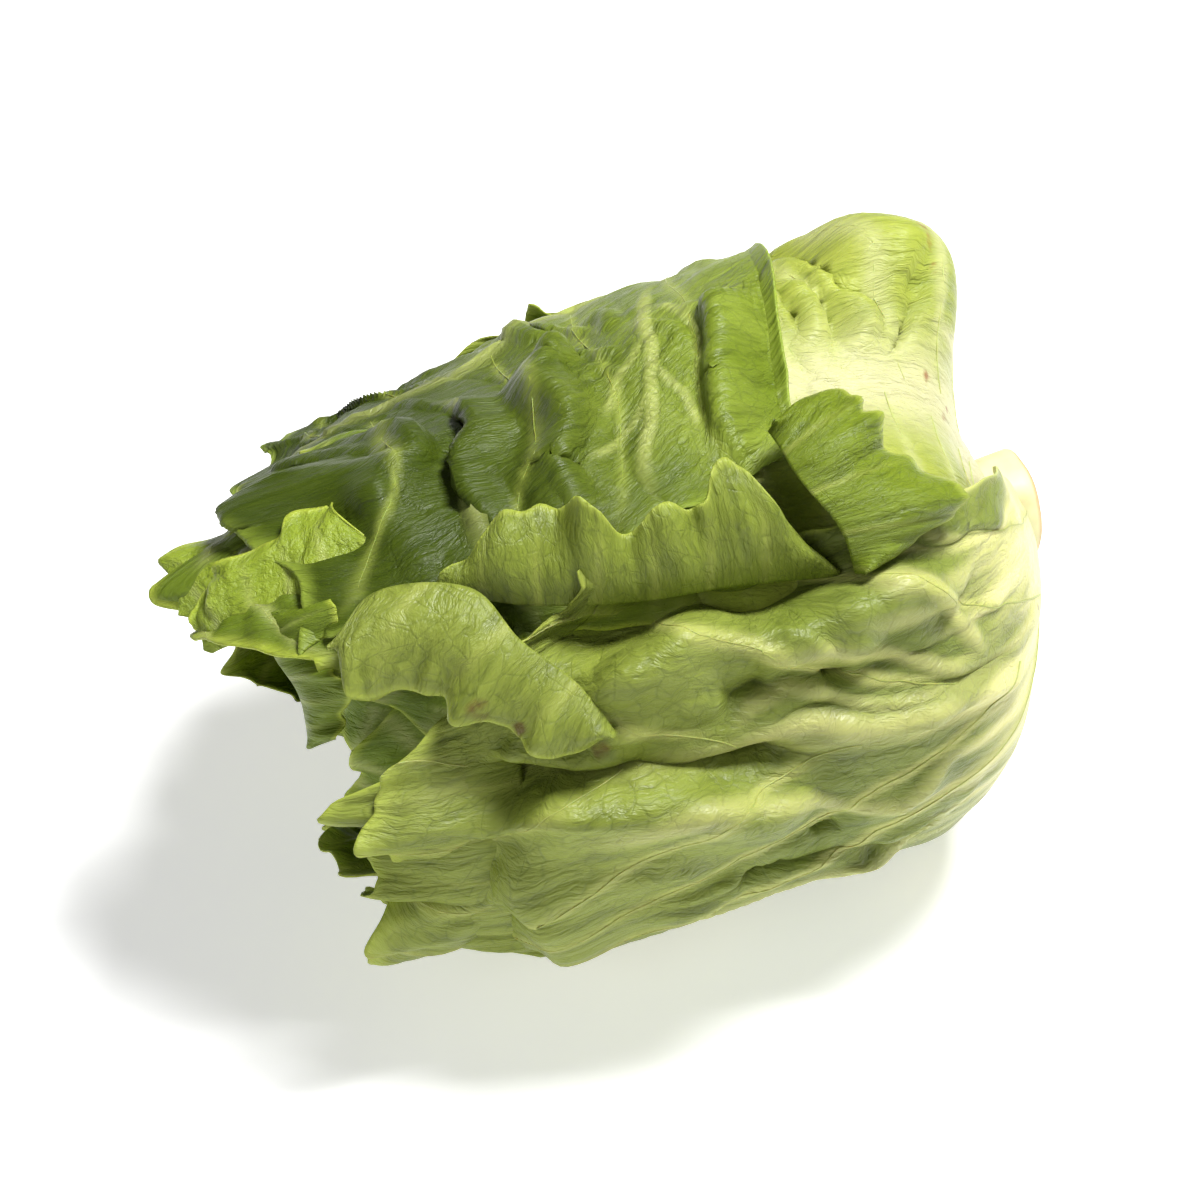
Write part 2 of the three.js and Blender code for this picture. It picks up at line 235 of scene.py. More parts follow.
class Crumple:
    """Smooth gradient noise from a fixed seed, for all that is irregular on a leaf."""

    def __init__(self, seed: int) -> None:
        """Draws the slopes of the noise.

        Args:
            seed: The fixed seed that they are drawn from.
        """
        chance = np.random.default_rng(seed)
        self.order = chance.permutation(NOISE_CELLS)
        turns = chance.random(NOISE_CELLS) * 2.0 * math.pi
        self.slopes = np.stack([np.cos(turns), np.sin(turns)], -1)

    def at(self, x: np.ndarray, y: np.ndarray) -> np.ndarray:
        """The noise at places on a plane.

        Args:
            x: Places along the first axis, in wavelengths.
            y: Places along the second axis.

        Returns:
            Noise of about -1 to 1.
        """
        column, row = np.floor(x).astype(int), np.floor(y).astype(int)
        dx, dy = x - column, y - row

        def corner(i: int, j: int) -> np.ndarray:
            """The slope that one corner of each cell gives."""
            cell = (self.order[(column + i) % NOISE_CELLS] + row + j) % NOISE_CELLS
            slope = self.slopes[self.order[cell]]
            return slope[..., 0] * (dx - i) + slope[..., 1] * (dy - j)

        over = smoothstep(0.0, 1.0, dx)
        near = lerp(corner(0, 0), corner(1, 0), over)
        far = lerp(corner(0, 1), corner(1, 1), over)
        return 1.5 * lerp(near, far, smoothstep(0.0, 1.0, dy))

    def over(self, across: np.ndarray, along: np.ndarray, lengths: tuple[float, float]) -> np.ndarray:
        """Noise over a leaf, at distances across and along it, with its wavelengths in mm."""
        return self.at(across / lengths[0], along / lengths[1])

    def round(self, way: np.ndarray, waves: float) -> np.ndarray:
        """Noise of about 0 to 1 over a ball of unit vectors, with a number of waves to a radius."""
        x, y, z = (way[..., axis] * waves for axis in range(3))
        return 0.5 + 0.35 * (self.at(x, y + 7.3) + self.at(y, z + 3.1) + self.at(z, x + 5.7))


class Draw(IntEnum):
    """What is added to a leaf's seed for each of its random forms."""

    WARP = 3
    RELIEF = 5
    SWAY = 11
    VEINS = 23
    PALE = 31
    CREASES = 41
    LOBES = 61


@dataclass(frozen=True)
class Teeth:
    """The teeth and scallops of a free edge: their lengths in mm and their shares of its strip."""

    tooth: float
    tooth_share: float
    scallop: float
    scallop_share: float

    def at(self, noise: Crumple, run: np.ndarray, fine: np.ndarray, broad: np.ndarray) -> np.ndarray:
        """How much longer the strip is at distances along its edge.

        Args:
            noise: The leaf's noise.
            run: Distances along the edge, in mm.
            fine: The rows of the noise that the teeth are read from.
            broad: The rows that the scallops are read from.

        Returns:
            Shares of the strip's length.
        """
        teeth = self.tooth_share * noise.at(run / self.tooth, fine)
        return teeth + self.scallop_share * noise.at(run / self.scallop, broad)


SIDE_TEETH = Teeth(9.0, 0.16, 34.0, 0.3)
TIP_TEETH = Teeth(6.0, 0.08, 24.0, 0.12)
LOBE_TEETH = Teeth(5.0, 0.07, 17.0, 0.16)


@dataclass(frozen=True)
class Hollow:
    """A place where the head falls short of its ball, by a share of its radius over a breadth in degrees."""

    polar: float
    azimuth: float
    share: float
    breadth: float


@dataclass(frozen=True)
class HeadForm:
    """The head: a blunt ball, longer towards the leaf tips, flat where it lies, with one raised shoulder."""

    butt: float = 104.0
    tip: float = 194.0
    half_width: float = 106.0
    top: float = 86.0
    bottom: float = 90.0
    butt_fullness: float = 2.3
    tip_fullness: float = 2.0
    floor_drop: float = 78.0
    floor_blend: float = 5.0
    lump_share: float = 0.022
    shoulder_polar: float = 45.0
    shoulder_azimuth: float = 106.0
    shoulder_rise: float = 37.0
    shoulder_breadth: float = 15.5
    shoulder_depths: tuple[float, float] = (16.0, 36.0)
    tip_crowding: float = 0.2
    hollows: tuple[Hollow, ...] = (
        Hollow(130.0, 124.0, 0.24, 34.0),
        Hollow(158.0, 262.0, 0.26, 32.0),
        Hollow(75.0, 318.0, 0.08, 32.0),
        Hollow(26.0, 55.0, 0.09, 15.0),
    )

    def radius(self, way: np.ndarray) -> np.ndarray:
        """How far the head's outer surface is from its centre.

        Args:
            way: Unit vectors from the centre.

        Returns:
            Distances in mm.
        """
        x, y, z = way[..., 0], way[..., 1], way[..., 2]
        along = np.abs(x) / np.where(x > 0, self.butt, self.tip)
        across = np.abs(y) / self.half_width
        upright = np.abs(z) / np.where(z > 0, self.top, self.bottom)
        full = lerp(self.tip_fullness, self.butt_fullness, smoothstep(-0.5, 0.5, x))
        smooth = (along**full + across**full + upright**full) ** (-1.0 / full)
        swell = np.sin(6.0 * x - 4.0 * y + 1.0) + np.sin(7.0 * y + 5.0 * z + 2.0)
        sunk = sum(self._sunk(way, hollow) for hollow in self.hollows)
        ball = (1.0 + self.lump_share * swell) * smooth * (1.0 - sunk)
        flat = self.floor_drop / np.maximum(-z, LEAST_DROP)
        met = -self.floor_blend * np.log(np.exp(-ball / self.floor_blend) + np.exp(-flat / self.floor_blend))
        return np.where(z >= -LEAST_DROP, ball, met)

    @staticmethod
    def _sunk(way: np.ndarray, hollow: Hollow) -> np.ndarray:
        """How much of its radius the head lacks in one hollow.

        Args:
            way: Unit vectors from the centre.
            hollow: The hollow.

        Returns:
            Shares of the radius.
        """
        middle = direction(np.float64(hollow.polar), np.float64(hollow.azimuth))
        gap = np.degrees(np.arccos(np.clip(way @ middle, -1.0, 1.0)))
        return hollow.share * bell(gap / hollow.breadth)

    def layer(self, way: np.ndarray, depth: float) -> np.ndarray:
        """How far a layer of leaves is from the head's centre.

        Args:
            way: Unit vectors from the centre.
            depth: The layer's depth below the surface at the butt, in mm.

        Returns:
            Distances in mm.
        """
        shrink = depth / self.butt * (1.0 - self.tip_crowding * smoothstep(0.2, 1.0, -way[..., 0]))
        shoulder_way = direction(np.float64(self.shoulder_polar), np.float64(self.shoulder_azimuth))
        gap = np.degrees(np.arccos(np.clip(way @ shoulder_way, -1.0, 1.0)))
        rise = self.shoulder_rise * (1.0 - smoothstep(*self.shoulder_depths, depth))
        return self.radius(way) * (1.0 - shrink) + rise * bell(gap / self.shoulder_breadth)


@dataclass(frozen=True)
class Side:
    """One side of a leaf: the angle it covers at root, belly and tip, and its free margin's strip."""

    root: float
    belly: float
    tip: float
    rounding: float
    length: float
    curl: float
    ruffle: float


@dataclass(frozen=True)
class Tip:
    """The free end of a leaf: its length in mm, how far it curls out and how high it is waved.

    The high share is how much of its length it keeps at the leaf's high side.
    """

    length: float
    curl: float
    ruffle: float
    high_share: float = 1.0


@dataclass(frozen=True)
class Pleat:
    """A fold that runs along a leaf, grows from its start and leans to one side."""

    angle: float
    height: float
    width: float
    drift: float
    start: float
    full: float
    lean: float = 0.0

    def profile(self, angle: np.ndarray, polar: np.ndarray) -> np.ndarray:
        """How high the fold is at places on the leaf.

        Args:
            angle: Angles from the leaf's rib round the head, in degrees.
            polar: Angles from the butt, in degrees.

        Returns:
            Shares of its full height.
        """
        middle = self.angle + self.drift * (polar - 90.0) / 50.0
        sway = 2.5 * sine(4.0 * polar + 20.0 * self.angle)
        swell = 1.0 + 0.3 * sine(7.0 * polar + 31.0 * self.angle)
        return swell * smoothstep(self.start, self.full, polar) * bell((angle - middle - sway) / self.width)


@dataclass(frozen=True)
class Fold:
    """A crease along a path of polar and azimuth angles, or a main vein where it is pale.

    Its height, its half-width and how far its crest leans over its left side are in mm.
    """

    path: tuple[tuple[float, float], ...]
    height: float
    width: float
    lean: float = 0.0
    pale: float = 0.0

    def shape(self, x: np.ndarray, y: np.ndarray) -> tuple[np.ndarray, np.ndarray, np.ndarray]:
        """The fold's height and sideways shift at places on the head.

        Args:
            x: Distances from the butt over the head, in mm.
            y: Distances round the head, in mm.

        Returns:
            The height, and the shift along x and y, in mm.
        """
        corners = [spread_out(np.float64(polar), np.float64(azimuth)) for polar, azimuth in self.path]
        legs = [math.dist(a, b) for a, b in zip(corners, corners[1:])]
        whole = sum(legs)
        nearest = np.full_like(x, np.inf)
        share = np.zeros_like(x)
        left_x, left_y = np.zeros_like(x), np.zeros_like(x)
        passed = 0.0
        for (ax, ay), (bx, by), leg in zip(corners, corners[1:], legs):
            dx, dy = (bx - ax) / leg, (by - ay) / leg
            run = np.clip((x - ax) * dx + (y - ay) * dy, 0.0, leg)
            gap = np.hypot(x - ax - run * dx, y - ay - run * dy)
            closer = gap < nearest
            nearest = np.where(closer, gap, nearest)
            share = np.where(closer, (passed + run) / whole, share)
            left_x, left_y = np.where(closer, -dy, left_x), np.where(closer, dx, left_y)
            passed += leg
        profile = bell(nearest / self.width) * smoothstep(0.0, 0.22, share) * smoothstep(1.0, 0.78, share)
        return self.height * profile, self.lean * profile * left_x, self.lean * profile * left_y


@dataclass(frozen=True)
class Venation:
    """The side veins of a leaf and the pillows between them, in mm.

    The slope is how far a vein runs towards the tip for each millimetre that it runs outwards.
    """

    spacing: float
    slope: float
    pillow: float
    crumple: float
    creases: int = 0
    crease_turn: float = 0.0
    crease_depth: float = 1.8
    crease_reach: float = 34.0
    tube: float = 1.0


@dataclass(frozen=True)
class Grid:
    """How finely a leaf is divided: along its blade and tip, and across its margins and blade."""

    blade_rows: int
    tip_rows: int
    low_columns: int
    blade_columns: int
    high_columns: int

    def lines(self) -> tuple[np.ndarray, np.ndarray]:
        """Where the leaf's rows and columns lie.

        Returns:
            Shares of the length from 0 to 1, and places across from -1 to 1.
        """
        blade_u = np.linspace(0.0, TIP_SHARE, self.blade_rows, endpoint=False)
        tip_u = np.linspace(TIP_SHARE, 1.0, self.tip_rows + 1)
        low_v = np.linspace(-1.0, -EDGE_SHARE, self.low_columns, endpoint=False)
        blade_v = np.linspace(-EDGE_SHARE, EDGE_SHARE, self.blade_columns, endpoint=False)
        high_v = np.linspace(EDGE_SHARE, 1.0, self.high_columns + 1)
        return np.concatenate([blade_u, tip_u]), np.concatenate([low_v, blade_v, high_v])


@dataclass(frozen=True)
class Lobe:
    """A lobe of a leaf's margin that lies folded over the head, from a base line to a free edge.

    Both lines are points of polar angle, azimuth and height over the leaf's layer in mm, and the edge lies
    to the left of the base. The bulge and the frill are in mm, and turned is how much of its inside shows.
    """

    base: tuple[tuple[float, float, float], ...]
    edge: tuple[tuple[float, float, float], ...]
    bulge: float
    frill: float
    turned: float = 0.0
    veins: float = 4.0


@dataclass(frozen=True)
class Spot:
    """A rusty mark on a leaf, at an angle from the butt and an azimuth, with its size in mm."""

    polar: float
    azimuth: float
    size: float


@dataclass(frozen=True)
class LeafPlan:
    """The sizes of one leaf: where it grows, how it wraps and how its surface is crumpled."""

    name: str
    slot: str
    azimuth: float
    sweep: float
    depth: float
    reach: float
    low: Side
    high: Side
    tip: Tip
    waves: float
    phase: float
    grid: Grid
    veins: Venation
    seed: int
    petiole: float = 0.0
    pleats: tuple[Pleat, ...] = ()
    folds: tuple[Fold, ...] = ()
    lobes: tuple[Lobe, ...] = ()
    spots: tuple[Spot, ...] = ()
    covered: float = 0.0
    rib_pale: float = 1.0
    rib_half_width: float = 10.0
    rib_height: float = 2.6
    pale_reach: float = 0.3


def linear(code: str) -> tuple[float, float, float, float]:
    """A linear colour from an sRGB hex code.

    Args:
        code: The hex code, with its hash sign.

    Returns:
        Red, green, blue and alpha.
    """
    channels = [int(code[i : i + 2], 16) / 255.0 for i in (1, 3, 5)]
    scene = [c / 12.92 if c <= 0.04045 else ((c + 0.055) / 1.055) ** 2.4 for c in channels]
    return (scene[0], scene[1], scene[2], 1.0)


def add(
    tree: bpy.types.NodeTree, kind: str, links: dict[str | int, object] | None = None, **settings: object
) -> bpy.types.Node:
    """Adds a node to a tree.

    Args:
        tree: The tree that takes the node.
        kind: The node's type name.
        links: Its inputs by name or number, each a socket to link or a value to set.
        settings: The node's own properties.

    Returns:
        The new node.
    """
    node = tree.nodes.new(kind)
    for name, value in settings.items():
        setattr(node, name, value)
    for key, value in (links or {}).items():
        if isinstance(value, bpy.types.NodeSocket):
            tree.links.new(value, node.inputs[key])
        else:
            node.inputs[key].default_value = value
    return node


@dataclass(frozen=True)
class LeafFinish:
    """A leaf's skin: waxy green with a fine dark net, paler towards its root, ribs and margins, and darkened
    with painted shade in the furrows of its grain.

    The sizes of its patches, cells, streaks, specks and grain are in mm. The net of a real leaf is finer,
    and is drawn as coarse as it needs to show.
    """

    name: str
    blade: str
    light: str
    # The deep colour draws the dark net of small veins, and also painted shade in the furrows of the grain
    net_and_furrow_shade: str
    inside: str
    margin: str
    pale: str
    vein: str
    tip: str
    rust: str = "#5e4420"
    net_strength: float = 0.22
    patch_size: float = 31.25
    drift_size: float = 11.1111
    net_cell: float = 3.3333
    coarse_cell: float = 9.0909
    streak_size: float = 4.1667
    speck_size: float = 3.8462
    grain_size: float = 3.8462

    @cache
    def blade_material(self) -> bpy.types.Material:
        """The blade: its wax gives a satin sheen, and its small veins a net pressed into the skin; painted
        shade darkens the furrows of the grain that its bump makes.

        Returns:
            The material.
        """
        material = bpy.data.materials.new(self.name)
        material.use_nodes = True
        tree = material.node_tree
        tree.nodes.clear()
        plan = add(tree, "ShaderNodeUVMap", uv_map=PLAN_MAP).outputs["UV"]
        marks = {
            name: add(tree, "ShaderNodeAttribute", attribute_name=name).outputs["Fac"]
            for name in MARKS
        }
        drift = add(
            tree, "ShaderNodeTexNoise", {"Vector": plan, "Scale": PLAN_UNIT / self.drift_size, "Detail": 2.0}
        ).outputs["Color"]
        warped = add(
            tree, "ShaderNodeVectorMath", {0: drift, 1: (0.05, 0.05, 0.0), 2: plan}, operation="MULTIPLY_ADD"
        ).outputs[0]
        long_plan, narrow = (
            add(tree, "ShaderNodeVectorMath", {0: warped, 1: stretch}, operation="MULTIPLY").outputs[0]
            for stretch in ((1.0, 0.55, 1.0), (1.0, 0.22, 1.0))
        )
        nets = []
        for cell, width in ((self.net_cell, 0.07), (self.coarse_cell, 0.014)):
            cells = add(
                tree,
                "ShaderNodeTexVoronoi",
                {"Vector": long_plan, "Scale": PLAN_UNIT / cell},
                feature="DISTANCE_TO_EDGE",
            )
            nets.append(add(
                tree,
                "ShaderNodeMapRange",
                {"Value": cells.outputs["Distance"], "From Max": width, "To Min": 1.0, "To Max": 0.0},
            ).outputs["Result"])
        lines = add(tree, "ShaderNodeMath", {0: nets[0], 1: nets[1]}, operation="MAXIMUM").outputs[0]
        broad, streaks, specks = (
            add(
                tree,
                "ShaderNodeTexNoise",
                {"Vector": place, "Scale": PLAN_UNIT / size, "Detail": detail, "Roughness": roughness},
            ).outputs["Fac"]
            for place, size, detail, roughness in (
                (plan, self.patch_size, 3.0, 0.5),
                (narrow, self.streak_size, 5.0, 0.62),
                (plan, self.speck_size, 3.0, 0.5),
            )
        )
        dark = add(tree, "ShaderNodeMath", {0: lines, 1: self.net_strength}, operation="MULTIPLY").outputs[0]
        rust = add(tree, "ShaderNodeMath", {0: marks["rust"], 1: specks}, operation="MULTIPLY").outputs[0]
        # Painted shade: the furrow share lays the deep colour where the streaks sink, in the same furrows
        # that the streaks press in through the bump
        shade, furrow_shade, rusty, rough = (
            add(
                tree,
                "ShaderNodeMapRange",
                {"Value": value, "From Min": start, "From Max": stop, "To Min": low, "To Max": high},
            ).outputs["Result"]
            for value, start, stop, low, high in (
                (broad, 0.32, 0.68, 0.0, 1.0),
                (streaks, 0.5, 0.3, 0.0, 0.5),
                (rust, 0.28, 0.5, 0.0, 0.75),
                (streaks, 0.3, 0.7, 0.3, 0.5),
            )
        )
        colour = linear(self.blade)
        for share, code in (
            (shade, self.light),
            # The tip colour: on the top leaf it is painted shade over the far end, on the shoulder leaf
            # partly the greener tone of its tips and partly painted shade
            (marks["tip"], self.tip),
            (marks["inside"], self.inside),
            (dark, self.net_and_furrow_shade),
            (furrow_shade, self.net_and_furrow_shade),
            (marks["margin"], self.margin),
            (marks["pale"], self.pale),
            (marks["vein"], self.vein),
            (rusty, self.rust),
        ):
            colour = add(
                tree, "ShaderNodeMix", {0: share, 6: colour, 7: linear(code)}, data_type="RGBA"
            ).outputs[2]
        grain = add(
            tree, "ShaderNodeMath", {0: lines, 1: -0.03, 2: streaks}, operation="MULTIPLY_ADD"
        ).outputs[0]
        bump = add(
            tree, "ShaderNodeBump", {"Height": grain, "Strength": 0.9, "Distance": 0.003}
        ).outputs["Normal"]
        skin = add(
            tree,
            "ShaderNodeBsdfPrincipled",
            {
                "Base Color": colour,
                "Roughness": rough,
                "Normal": bump,
                "Specular IOR Level": 0.26,
                "Subsurface Weight": 0.18,
                "Subsurface Radius": (0.8, 1.0, 0.25),
                "Subsurface Scale": 0.0015,
            },
        )
        add(tree, "ShaderNodeOutputMaterial", {"Surface": skin.outputs["BSDF"]})
        return material

    @cache
    def vein_material(self) -> bpy.types.Material:
        """The raised side veins: their watery tissue is pale and smooth, with a faint grain along it.

        Returns:
            The material.
        """
        material = bpy.data.materials.new(self.name + " vein")
        material.use_nodes = True
        tree = material.node_tree
        tree.nodes.clear()
        place = add(tree, "ShaderNodeTexCoord").outputs["Object"]
        scale = 1.0 / (self.grain_size * MILLIMETRE)
        grain = add(
            tree, "ShaderNodeTexNoise", {"Vector": place, "Scale": scale, "Detail": 2.0}
        ).outputs["Fac"]
        faint = add(tree, "ShaderNodeMath", {0: grain, 1: 0.6}, operation="MULTIPLY").outputs[0]
        colour = add(
            tree,
            "ShaderNodeMix",
            {0: faint, 6: linear(self.vein), 7: linear(self.light)},
            data_type="RGBA",
        ).outputs[2]
        skin = add(
            tree,
            "ShaderNodeBsdfPrincipled",
            {"Base Color": colour, "Roughness": 0.42, "Subsurface Weight": 0.2, "Subsurface Scale": 0.001},
        )
        add(tree, "ShaderNodeOutputMaterial", {"Surface": skin.outputs["BSDF"]})
        return material


class LeafKind(Enum):
    """The looks of the head's leaves."""

    OUTER = LeafFinish(
        "Outer leaf skin", blade="#667528", light="#828e40", net_and_furrow_shade="#313f12", inside="#697c10",
        margin="#a9b54c", pale="#e4e096", vein="#a6ad57", tip="#838f3a",
    )
    # The top leaf's tip colour is painted shade: it darkens the far end of the leaf, where it lies in shade
    TOP = LeafFinish(
        "Top leaf skin", blade="#66781c", light="#8c9c3a", net_and_furrow_shade="#2d3c0f", inside="#75871a",
        margin="#93a63e", pale="#c3c97a", vein="#a0ad4c", tip="#42510f",
    )
    # The shoulder leaf's darker tip colour is partly the greener tone of its tips and partly painted shade
    # over its shadowed frilly tips
    SHOULDER = LeafFinish(
        "Shoulder leaf skin", blade="#939f38", light="#aab350", net_and_furrow_shade="#6b7d28", inside="#93a534",
        margin="#b3c048", pale="#cdca9c", vein="#b4bb70", tip="#66791f", rust="#8a4a22", net_strength=0.14,
    )
    HEART = LeafFinish(
        "Heart leaf skin", blade="#93a838", light="#a8ba50", net_and_furrow_shade="#50641a", inside="#9bb03c",
        margin="#aebf42", pale="#dfe0a8", vein="#c4cc80", tip="#748a26",
    )


def mesh_piece(
    name: str, points: np.ndarray, faces: np.ndarray, material: bpy.types.Material
) -> bpy.types.Object:
    """Makes a smooth mesh object.

    Args:
        name: The object's name.
        points: Points in metres, in the row frame.
        faces: The numbers of each face's four corners.
        material: The material that it wears.

    Returns:
        The new object.
    """
    mesh = bpy.data.meshes.new(name)
    mesh.from_pydata(points.tolist(), [], faces.tolist())
    mesh.polygons.foreach_set("use_smooth", np.ones(len(faces), dtype=bool))
    mesh.materials.append(material)
    mesh.update()
    piece = bpy.data.objects.new(name, mesh)
    bpy.context.collection.objects.link(piece)
    return piece


def unit(vectors: np.ndarray) -> np.ndarray:
    """The vectors at length 1."""
    return vectors / np.maximum(np.linalg.norm(vectors, axis=-1, keepdims=True), 1e-9)


def grid_normals(points: np.ndarray) -> np.ndarray:
    """Outward unit normals of a leaf's grid of points."""
    return unit(np.cross(np.gradient(points, axis=1), np.gradient(points, axis=0)))


@dataclass
class Sheet:
    """A thin closed sheet: the points of its two faces, its flat plan in mm and its marks for the skin."""

    outer: np.ndarray
    inner: np.ndarray
    flat: np.ndarray
    marks: dict[str, tuple[np.ndarray, np.ndarray]]

    def points(self) -> np.ndarray:
        """The points of both faces, the outer face first."""
        return np.concatenate([self.outer.reshape(-1, 3), self.inner.reshape(-1, 3)])

    def faces(self) -> np.ndarray:
        """The faces of both sides of the sheet and of the rim that joins them.

        Returns:
            The numbers of each face's four corners, in the order of points().
        """
        rows, columns = self.outer.shape[:2]
        index = np.arange(rows * columns).reshape(rows, columns)
        a, b = index[:-1, :-1].ravel(), index[:-1, 1:].ravel()
        c, d = index[1:, 1:].ravel(), index[1:, :-1].ravel()
        under = rows * columns
        outer = np.stack([a, b, c, d], -1)
        inner = np.stack([a, d, c, b], -1) + under
        ring = np.concatenate([index[0, :-1], index[:-1, -1], index[-1, :0:-1], index[:0:-1, 0]])
        follow = np.roll(ring, -1)
        rim = np.stack([ring, ring + under, follow + under, follow], -1)
        return np.concatenate([outer, inner, rim])

    def plan(self) -> np.ndarray:
        """The flat plan of both faces, in units of the UV map."""
        flat = self.flat.reshape(-1, 2) / PLAN_UNIT
        return np.concatenate([flat, flat])

    def mark(self, name: str) -> np.ndarray:
        """One mark of both faces."""
        return np.concatenate([face.ravel() for face in self.marks[name]])


@dataclass
class Leaf:
    """One leaf: a thin closed blade with a rib, pillows between its veins and a frilled margin.

    While it is built it keeps, for each point, the distances along and across it in mm, the outer face, and
    how much of a rib, of a side vein and of a main vein there is.
    """

    plan: LeafPlan
    head: HeadForm
    kind: LeafKind
    centre: Vector
    thickness: float = 0.9
    margin_thickness: float = 0.5
    s: np.ndarray = field(init=False, repr=False)
    t: np.ndarray = field(init=False, repr=False)
    outer: np.ndarray = field(init=False, repr=False)
    rib: np.ndarray = field(init=False, repr=False)
    vein: np.ndarray = field(init=False, repr=False)
    fan: np.ndarray = field(init=False, repr=False)

    def build(self) -> bpy.types.Object:
        """Makes the blade as a mesh in the row frame, with its plan and marks.

        Returns:
            The new piece.
        """
        rows, columns = self.plan.grid.lines()
        u, v = np.meshgrid(rows, columns, indexing="ij")
        self._measure(self._sheet(u, v, False), columns)
        smooth = self._sheet(u, v, True)
        rise = self._relief(u, v, smooth)
        middle = smooth + grid_normals(smooth) * rise[..., None]
        middle[..., 2] = np.maximum(middle[..., 2], MIDDLE_LIFT - self.head.floor_drop)
        normals = grid_normals(middle)
        near_edge = np.maximum(smoothstep(0.9, 1.0, np.abs(v)), smoothstep(0.95, 1.0, u))
        half = lerp(self.thickness, self.margin_thickness, near_edge)[..., None] / 2.0
        outer = middle + normals * half
        outer[..., 2] = np.maximum(outer[..., 2], -self.head.floor_drop)
        inner = middle - normals * half
        inner[..., 2] = np.maximum(inner[..., 2], INNER_LIFT - self.head.floor_drop)
        self.outer = outer
        flat = np.stack([self.t, self.s], -1)
        sheets = [Sheet(outer, inner, flat, self._marks(u, v))]
        sheets += [self._lobe(lobe, number) for number, lobe in enumerate(self.plan.lobes)]
        piece = self._joined(sheets)
        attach(piece, "root")
        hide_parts(self.plan.name)
        return piece

    def _joined(self, sheets: list[Sheet]) -> bpy.types.Object:
        """One mesh piece from the blade and its lobes, with their plans and marks.

        Args:
            sheets: The blade and its lobes.

        Returns:
            The leaf's piece.
        """
        firsts = np.cumsum([0] + [2 * sheet.outer[..., 0].size for sheet in sheets])
        points = np.concatenate([sheet.points() for sheet in sheets])
        faces = np.concatenate([sheet.faces() + first for sheet, first in zip(sheets, firsts)])
        piece = mesh_piece(
            self.plan.name + "_blade", self._placed(points), faces, self.kind.value.blade_material()
        )
        mesh = piece.data
        corners = np.zeros(len(mesh.loops), dtype=np.int32)
        mesh.loops.foreach_get("vertex_index", corners)
        flat = np.concatenate([sheet.plan() for sheet in sheets])
        layer = mesh.uv_layers.new(name=PLAN_MAP)
        layer.data.foreach_set("uv", flat[corners].astype(np.float32).ravel())
        for name in MARKS:
            values = np.concatenate([sheet.mark(name) for sheet in sheets]).astype(np.float32)
            mesh.attributes.new(name, "FLOAT", "POINT").data.foreach_set("value", values)
        return piece

    def _lobe(self, lobe: Lobe, number: int) -> Sheet:
        """A folded lobe as a sheet of its own that starts under the blade's surface.

        Args:
            lobe: The lobe's lines and sizes.
            number: Its place among the leaf's lobes, for its noise.

        Returns:
            The lobe's sheet.
        """
        rows, columns = np.linspace(0.0, 1.0, LOBE_ROWS), np.linspace(0.0, 1.0, LOBE_COLUMNS)
        s, w = np.meshgrid(rows, columns, indexing="ij")
        base, edge = curve(lobe.base, s), curve(lobe.edge, s)
        noise = Crumple(self.plan.seed + Draw.LOBES + number)
        steps = np.linalg.norm(np.diff(edge[:, 0, :2], axis=0), axis=-1) * SURFACE_DEGREE
        run = np.concatenate([[0.0], np.cumsum(steps)])[:, None] + np.zeros_like(s)
        reach = np.linalg.norm((edge - base)[..., :2], axis=-1) * SURFACE_DEGREE
        teeth = LOBE_TEETH.at(noise, run, np.full_like(s, 0.5), np.full_like(s, 3.5))
        rounded = 0.1 + 0.9 * (smoothstep(0.0, 0.16, s) * smoothstep(1.0, 0.84, s)) ** 0.6
        place = lerp(base, edge, (w * rounded * (1.0 + teeth * w**2))[..., None])
        frill = noise.at(run / LOBE_FRILL_LENGTH, w + 6.5)
        frill = frill + 0.5 * noise.at(run / LOBE_FINE_FRILL_LENGTH, w + 9.5)
        crumple = noise.over(run, w * reach, LOBE_CRUMPLE_LENGTHS)
        crumple = crumple + 0.5 * noise.over(run, w * reach, LOBE_FINE_CRUMPLE_LENGTHS)
        bulge = lobe.bulge * 4.0 * w * (1.0 - w)
        off = place[..., 2] + bulge + lobe.frill * (w**2 * frill + 0.5 * w * crumple)
        way = direction(place[..., 0], place[..., 1])
        middle = way * (self.head.layer(way, self.plan.depth) + off)[..., None]
        normals = grid_normals(middle)
        half = lerp(self.thickness, self.margin_thickness, smoothstep(0.8, 1.0, w))[..., None] / 2.0
        gap = ((s * lobe.veins + 0.25 * w + 0.3) % 1.0 - 0.5) * run.max() / lobe.veins
        vein = bell(gap / LOBE_VEIN_WIDTH) * (1.0 - w)
        none = np.zeros_like(s)
        margin = 0.7 * smoothstep(0.9, 1.0, w)
        turned = np.full_like(s, lobe.turned)
        outer = middle + normals * half
        rust = self._rust(outer)
        # A lobe wears the tip colour all over; on the shoulder leaf this is partly painted shade
        marks = {
            "pale": (none, none),
            "margin": (margin, margin),
            "vein": (0.5 * vein, 0.5 * vein),
            "inside": (turned, 1.0 - turned),
            "rust": (rust, rust),
            "tip": (none + 1.0, none + 1.0),
        }
        return Sheet(outer, middle - normals * half, np.stack([run, w * reach], -1), marks)

    def _placed(self, points: np.ndarray) -> np.ndarray:
        """Points from the head's own millimetres to metres in the row frame."""
        return points * MILLIMETRE + np.array(self.centre)

    def _side(self, v: np.ndarray, name: str) -> np.ndarray:
        """A size of the low or the high side, for each place across the leaf."""
        return np.where(v < 0, getattr(self.plan.low, name), getattr(self.plan.high, name))

